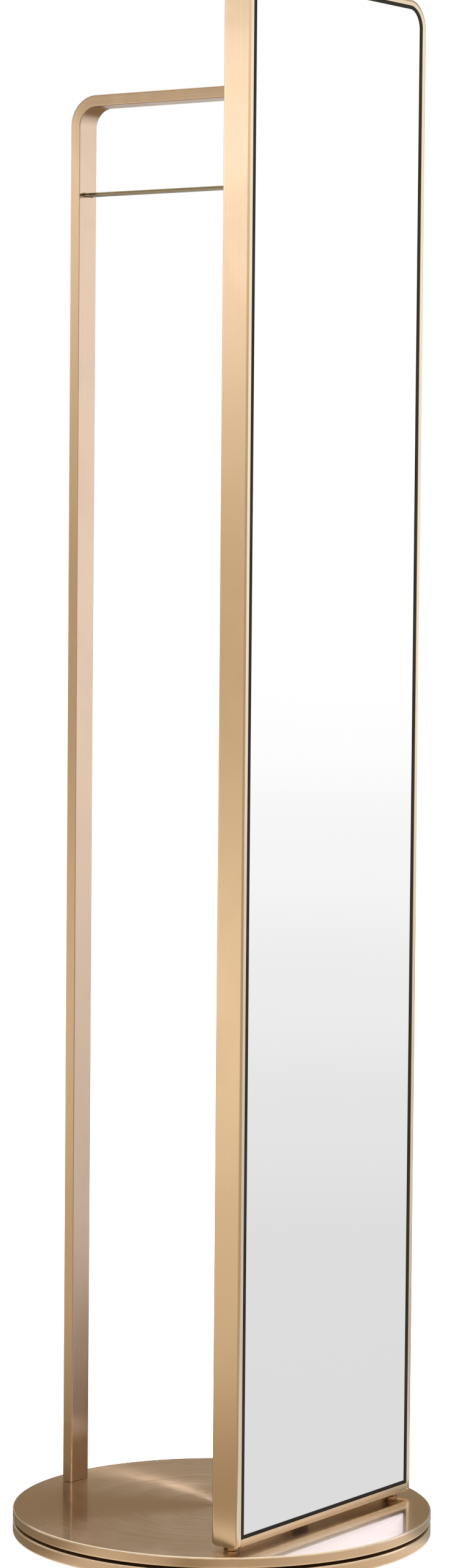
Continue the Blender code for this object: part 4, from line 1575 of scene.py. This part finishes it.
def grey(level: float) -> Colour:
    """A neutral tone."""
    return (level, level, level)


def warm(level: float) -> Colour:
    """A tone that gets warmer as it gets darker: powers of the level, higher for green and blue."""
    return tuple(level**power for power in WARMING)


def amber(level: float) -> Colour:
    """The warm tone of a level, tinted with less green and less blue."""
    return tuple(tint * part for tint, part in zip(AMBER_TINT, warm(level)))


def toned(tone: Callable[[float], Colour], *stops: tuple[float, float]) -> Stops:
    """Places and colours of a run, from places and levels of one tone."""
    return tuple((place, tone(level)) for place, level in stops)


GREY_RUN = toned(
    grey, (0.25, 0.742), (2.1, 0.752), (3.5, 0.803), (5.8, 0.87), (10.0, 0.946), (20.0, 1.02),
    (30.0, 1.04),
)
FLOOR_RUN = toned(
    amber, (-22.0, 0.54), (-10.0, 0.775), (-5.8, 0.945), (-3.5, 0.823), (-2.1, 0.686),
    (-1.35, 0.676), (-0.96, 0.51), (-0.66, 0.41), (-0.35, 0.36), (0.0, 0.36),
)
RING_RUN = (
    *toned(warm, (-30.0, 0.20)),
    *toned(amber, (2.0, 0.28), (30.0, 0.78), (46.0, 0.72), (60.0, 0.40), (75.0, 0.60)),
    *toned(amber, (120.0, 0.79), (141.0, 0.90)),
    *toned(warm, (160.0, 0.36)),
)
SKY_RUN = (
    *toned(grey, (-0.1, 1.0), (0.0, 1.04), (0.14, 1.08)),
    *toned(warm, (0.2, 0.27), (0.35, 0.40), (0.5, 0.85), (1.0, 1.0)),
)
PANEL_RUN = (
    *toned(amber, (-0.1, 0.54), (0.0, 0.57), (0.04, 0.80)),
    (0.09, (1.40, 1.27, 1.24)),
    (0.12, (1.36, 1.21, 1.12)),
    (0.14, (0.88, 0.79, 0.70)),
    *toned(amber, (0.2, 0.06), (0.38, 0.15), (0.6, 1.0), (1.0, 1.3)),
)


# Studio


def lay_sheet(
    name: str, corners: Sequence[Sequence[float]], material: bpy.types.Material
) -> bpy.types.Object:
    """Put a sheet with four corners into the scene.

    Args:
        name: Name of the sheet.
        corners: Its corners, anticlockwise from above if its front is up.
        material: Its material.

    Returns:
        The sheet.
    """
    mesh = bpy.data.meshes.new(name)
    mesh.from_pydata(corners, [], [[0, 1, 2, 3]])
    mesh.materials.append(material)
    return place_object(name, mesh)


@dataclass(frozen=True)
class Card:
    """A level card that only reflections see, and from one side.

    Attributes:
        name: Name of the card.
        axes: Two level directions that it is measured along, the second to the first's left.
        reach: Distances between which it lies along the first.
        sides: Distances between which it lies along the second.
        height: Height above the floor.
        fade: Width of its soft border.
        light: Colour and brightness.
        faces_up: Whether it is seen from above, or else from below.
    """

    name: str
    axes: tuple[Point, Point]
    reach: Span
    sides: Span
    height: float
    fade: float
    light: Colour
    faces_up: bool = False

    def build(self) -> None:
        """Hang the card: its corners are the distances along its axes, at its height."""
        along, across = (Vector(axis) for axis in self.axes)
        (near, far), (left, right) = self.reach, self.sides
        lift = Vector((0.0, 0.0, self.height))
        places = ((near, left), (near, right), (far, right), (far, left))
        corners = [along * u + across * v + lift for u, v in places]
        card = lay_sheet(self.name, corners, self.material())
        card.visible_camera = card.visible_diffuse = card.visible_shadow = False

    def material(self) -> bpy.types.Material:
        """Bright on the seen side, with a soft border, and clear from the other side.

        Returns:
            The material.
        """
        material, bench = NodeBench.on_material(self.name)
        place = bench.place()
        share = bench.get("ShaderNodeNewGeometry", output="Backfacing")
        if not self.faces_up:
            share = bench.math("SUBTRACT", 1.0, share)
        for axis, (low, high) in zip(self.axes, (self.reach, self.sides)):
            spot = bench.dot(place, axis)
            rise = bench.rise(spot, (low, low + self.fade))
            share = bench.product(share, rise, bench.fall(spot, (high - self.fade, high)))
        clear = bench.get("ShaderNodeBsdfTransparent")
        bright = bench.get("ShaderNodeEmission", {"Color": rgba(self.light), "Strength": 1.0})
        mixed = bench.get("ShaderNodeMixShader", {0: share, 1: clear, 2: bright})
        bench.add("ShaderNodeOutputMaterial", {"Surface": mixed})
        return material


BOUNCE_CARD = Card(
    "bounce_card", axes=(FRONT_RIGHT, ACROSS), reach=(0.70, 1.60), sides=(-0.40, 0.05), height=0.30,
    fade=0.05, light=(1.26, 1.23, 1.40),
)
MASKING_CARD = Card(
    "masking_card", axes=((0.0, -1.0, 0.0), X_AXIS), reach=(0.183, 0.42), sides=(-0.30, 0.42),
    height=0.0335, fade=0.006, light=grey(0.742), faces_up=True,
)


@dataclass
class Studio:
    """A pale floor, a white surround, a soft lamp, a strip lamp and cards.

    Reflections in the brass show warm tones, darker in some sectors round the stand. The mirror is
    the one surface sharp enough for singular rays, and those show a plain run of greys.

    Attributes:
        reach: Half width of the floor.
        lamp_place: Place of the soft lamp, which lights the floor.
        lamp_size: Width of the soft lamp.
        lamp_power: Power of the soft lamp in watts.
        strip_ends: The two ends of the strip lamp, which shows in the brass.
        strip_width: Width of the strip lamp.
        strip_power: Power of the strip lamp in watts.
        strip_colour: Colour of the strip lamp.
        cards: Cards that show in the brass and the mirror.
        fill: Strength of the surround's light.
        white: Strength of the floor's own white.
        albedo: Share of the lamps' light that the floor gives back.
        least_far: Least distance from the stand's axis that a direction is worked out at.
        shade: Level of a dark patch on the floor beside the bounce card.
        shade_start: Distances along the card's line between which that patch fades in.
        shade_reach: Distances along that line between which it fades out.
        shade_side: Places across that line between which it fades in.
        ring_fade: Distances from the axis between which the tone close round the base fades out.
        dim_sector: Cosines between which reflections of the far side get darker.
        dim_start: Distances on the floor between which that starts.
        dim_stop: Distances on the floor between which it stops.
        dim_rise: Heights of a direction between which it grows to its full share.
        dim_least: Its share below those heights.
        dim_fall: Heights of a direction between which it stops.
        gloom: Level that the far side gets to.
        arris_sector: Cosines between which reflections of the near side get darker.
        arris_start: Distances on the floor between which that starts.
        arris_rise: Heights of a direction between which the next two levels run into each other.
        arris_gloom: Levels that the near side gets to, level with the floor and higher up.
        panel_sector: Cosines between which reflections of the left side show a run of their own.
    """

    reach: float = 60.0
    lamp_place: Point = (1.35, -0.79, 2.72)
    lamp_size: float = 1.4
    lamp_power: float = 40.0
    strip_ends: tuple[Point, Point] = ((5.47, 3.71, 3.17), (4.91, 2.42, 4.84))
    strip_width: float = 0.10
    strip_power: float = 7.0
    strip_colour: Colour = (1.0, 0.86, 0.78)
    cards: tuple[Card, ...] = (BOUNCE_CARD, MASKING_CARD)
    fill: float = 0.55
    white: float = 0.78
    albedo: float = 0.85
    least_far: float = 0.01
    shade: float = 0.15
    shade_start: Span = (0.0, 0.1)
    shade_reach: Span = (0.7, 2.0)
    shade_side: Span = (0.04, 0.12)
    ring_fade: Span = (0.37, 0.41)
    dim_sector: Span = (0.42, 0.72)
    dim_start: Span = (0.35, 1.2)
    dim_stop: Span = (5.0, 12.0)
    dim_rise: Span = (0.06, 0.15)
    dim_least: float = 0.35
    dim_fall: Span = (0.27, 0.5)
    gloom: float = 0.25
    arris_sector: Span = (0.2, 0.65)
    arris_start: Span = (0.6, 1.5)
    arris_rise: Span = (0.0, 0.1)
    arris_gloom: Span = (0.45, 0.85)
    panel_sector: Span = (0.5, 0.9)

    def build(self) -> None:
        """Set the stage and its light."""
        corners = np.array([[-1, -1, 0], [1, -1, 0], [1, 1, 0], [-1, 1, 0]], float) * self.reach
        lay_sheet("pale_floor", corners, self.floor_material())
        self.build_surround()
        place, sizes = Vector(self.lamp_place), (self.lamp_size, self.lamp_size)
        soft = self.build_lamp("soft_lamp", place, Vector(Z_AXIS), sizes, self.lamp_power)
        soft.visible_glossy = False
        self.build_strip()
        for card in self.cards:
            card.build()

    def build_strip(self) -> None:
        """Hang the strip lamp, which the sharp mirror doesn't see."""
        first, last = (Vector(end) for end in self.strip_ends)
        middle, along = (first + last) / 2, last - first
        sizes = (self.strip_width, along.length)
        strip = self.build_lamp("strip_lamp", middle, along, sizes, self.strip_power)
        strip.visible_diffuse = False
        strip.data.color = self.strip_colour
        strip.data.use_nodes = True
        bench = NodeBench(strip.data.node_tree)
        sharp = bench.get("ShaderNodeLightPath", output="Is Singular Ray")
        glow = bench.get("ShaderNodeEmission", {"Strength": bench.math("SUBTRACT", 1.0, sharp)})
        bench.add("ShaderNodeOutputLight", {"Surface": glow})

    def floor_material(self) -> bpy.types.Material:
        """White where it is looked at, with the stand's shadow, and a soft run in reflections.

        Returns:
            The material.
        """
        material, bench = NodeBench.on_material("pale_floor")
        camera, reflected, sharp = bench.rays()
        place = bench.place()
        far = bench.length(place)
        safe = bench.math("MAXIMUM", far, self.least_far)
        along, beside = (bench.dot(place, axis) for axis in (FRONT_RIGHT, ACROSS))
        behind, facing = (
            bench.math("DIVIDE", bench.dot(place, axis), safe) for axis in (BACK_RIGHT, FRONT_LEFT)
        )
        shaded = bench.product(
            bench.rise(along, self.shade_start), bench.fall(along, self.shade_reach),
            bench.rise(beside, self.shade_side),
        )
        dimmed = bench.product(
            bench.rise(far, self.dim_start), bench.fall(far, self.dim_stop),
            bench.rise(behind, self.dim_sector),
        )
        edged = bench.product(
            bench.rise(far, self.arris_start), bench.rise(facing, self.arris_sector),
        )
        layers = (
            (shaded, amber(self.shade)),
            (dimmed, amber(self.gloom)),
            (edged, amber(self.arris_gloom[0])),
            (bench.fall(far, self.ring_fade), self.ring_tone(bench, along, beside)),
            (sharp, bench.ramp(far, GREY_RUN)),
            (camera, grey(self.white)),
        )
        tone = bench.layered(bench.ramp(along, (*FLOOR_RUN, *GREY_RUN)), layers)
        seen = bench.math("MAXIMUM", camera, reflected)
        own = bench.get("ShaderNodeEmission", {"Color": tone, "Strength": seen})
        lit = bench.get("ShaderNodeBsdfDiffuse", {"Color": rgba(grey(self.albedo))})
        unseen = bench.get("ShaderNodeMixShader", {0: reflected, 1: lit})
        both = bench.get("ShaderNodeAddShader", {0: unseen, 1: own})
        bench.add("ShaderNodeOutputMaterial", {"Surface": both})
        return material

    @staticmethod
    def ring_tone(bench: NodeBench, along: Socket, beside: Socket) -> Socket:
        """Tone of the floor close round the base, by the angle that two places across it make.

        Args:
            bench: Bench on the floor's tree.
            along: Place along the line to the front right.
            beside: Place across that line.

        Returns:
            The colour socket.
        """
        opposite = [bench.product(place, -1.0) for place in (beside, along)]
        angle = bench.product(bench.math("ARCTAN2", *opposite), math.degrees(1.0))
        return bench.ramp(angle, RING_RUN)

    def build_surround(self) -> None:
        """White behind the stand, the same white with soft darker zones in reflections, and an
        even fill for everything else."""
        world = bpy.data.worlds.new("surround")
        bpy.context.scene.world = world
        world.use_nodes = True
        bench = NodeBench(world.node_tree)
        camera, reflected, sharp = bench.rays()
        direction = bench.get("ShaderNodeTexCoord", output="Generated")
        height = bench.split(direction)[2]
        side = bench.rise(bench.dot(direction, LEFT_BACK), self.panel_sector)
        behind = bench.rise(bench.dot(direction, BACK_RIGHT), self.dim_sector)
        facing = bench.rise(bench.dot(direction, FRONT_LEFT), self.arris_sector)
        above = bench.remap(height, self.dim_rise, (self.dim_least, 1.0), smooth=True)
        dimmed = bench.product(above, bench.fall(height, self.dim_fall), behind)
        edge_tone = bench.blend(bench.rise(height, self.arris_rise), *map(amber, self.arris_gloom))
        layers = (
            (side, bench.ramp(height, PANEL_RUN)),
            (facing, edge_tone),
            (dimmed, amber(self.gloom)),
            (sharp, GREY_RUN[-1][1]),
        )
        tone = bench.layered(bench.ramp(height, SKY_RUN), layers)
        white = rgba(grey(1.0))
        shown, fill, seen = (
            bench.get("ShaderNodeBackground", {"Color": colour, "Strength": strength})
            for colour, strength in ((tone, 1.0), (white, self.fill), (white, 1.0))
        )
        unseen = bench.get("ShaderNodeMixShader", {0: reflected, 1: fill, 2: shown})
        surface = bench.get("ShaderNodeMixShader", {0: camera, 1: unseen, 2: seen})
        bench.add("ShaderNodeOutputWorld", {"Surface": surface})

    @staticmethod
    def build_lamp(
        name: str, place: Vector, along: Vector, sizes: tuple[float, float], power: float
    ) -> bpy.types.Object:
        """Hang a lamp, turned to the stand's base.

        Args:
            name: Name of the lamp.
            place: Place of the lamp.
            along: Direction that its second size runs in, as near as the turn allows.
            sizes: Width and length of the lamp.
            power: Power of the lamp in watts.

        Returns:
            The lamp.
        """
        light = bpy.data.lights.new(name, "AREA")
        light.shape = "ELLIPSE"
        light.size, light.size_y = sizes
        light.energy = power
        lamp = place_object(name, light)
        away = place.normalized()
        width = along.cross(away).normalized()
        lamp.location = place
        lamp.rotation_mode = "QUATERNION"
        turn = Matrix((width, away.cross(width), away)).transposed()
        lamp.rotation_quaternion = turn.to_quaternion()
        return lamp


@dataclass
class PhotoCamera:
    """The camera at the photograph's viewing angle.

    Attributes:
        distance: Distance from the stand's axis, level with the floor.
        height: Height above the floor.
        heading: Angle of the line of sight from +Y towards +X, in degrees.
        pitch: Tilt below level, in radians.
        roll: Turn about the line of sight, in radians.
        focal: Focal length in pixels of the photograph.
        long_side: Height of the photograph in pixels.
        sensor: Width of the sensor in millimetres.
        sight_end: Greatest distance that it sees.
    """

    distance: float = 4.7296
    height: float = 1.1791
    heading: float = 54.83
    pitch: float = 0.05965
    roll: float = 0.0085
    focal: float = 6534.3
    long_side: float = 2560.0
    sensor: float = 36.0
    sight_end: float = 300.0

    def build(self) -> None:
        """Place the camera and make it the scene's own."""
        lens = bpy.data.cameras.new("photo_camera")
        lens.sensor_width = self.sensor
        lens.lens = self.focal / self.long_side * self.sensor
        lens.clip_end = self.sight_end
        camera = place_object("photo_camera", lens)
        angle = math.radians(self.heading)
        ahead, up = Vector((math.sin(angle), math.cos(angle), 0.0)), Vector(Z_AXIS)
        camera.location = up * self.height - ahead * self.distance
        sight = ahead * math.cos(self.pitch) - up * math.sin(self.pitch)
        camera.rotation_mode = "QUATERNION"
        camera.rotation_quaternion = sight.to_track_quat("-Z", "Y") @ Quaternion(Z_AXIS, self.roll)
        bpy.context.scene.camera = camera


def clear_scene() -> None:
    """Remove whatever the scene holds at the start."""
    for item in list(bpy.data.objects):
        bpy.data.objects.remove(item)


def main() -> None:
    """Load the frame, build and dress the sub-assemblies, and set the stage."""
    logging.basicConfig(level=logging.INFO, format="%(name)s: %(message)s")
    clear_scene()
    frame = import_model()
    bpy.context.scene.view_settings.view_transform = "Standard"
    shelf = FinishShelf()
    for kind in (FixedBase, BallRing, Turntable, MirrorPanel, HangingFrame):
        part = kind(shelf, frame["nodes"])
        part.build()
        part.dress()
        LOG.info("%s is done", kind.__name__)
    Studio().build()
    PhotoCamera().build()


if __name__ == "__main__":
    main()
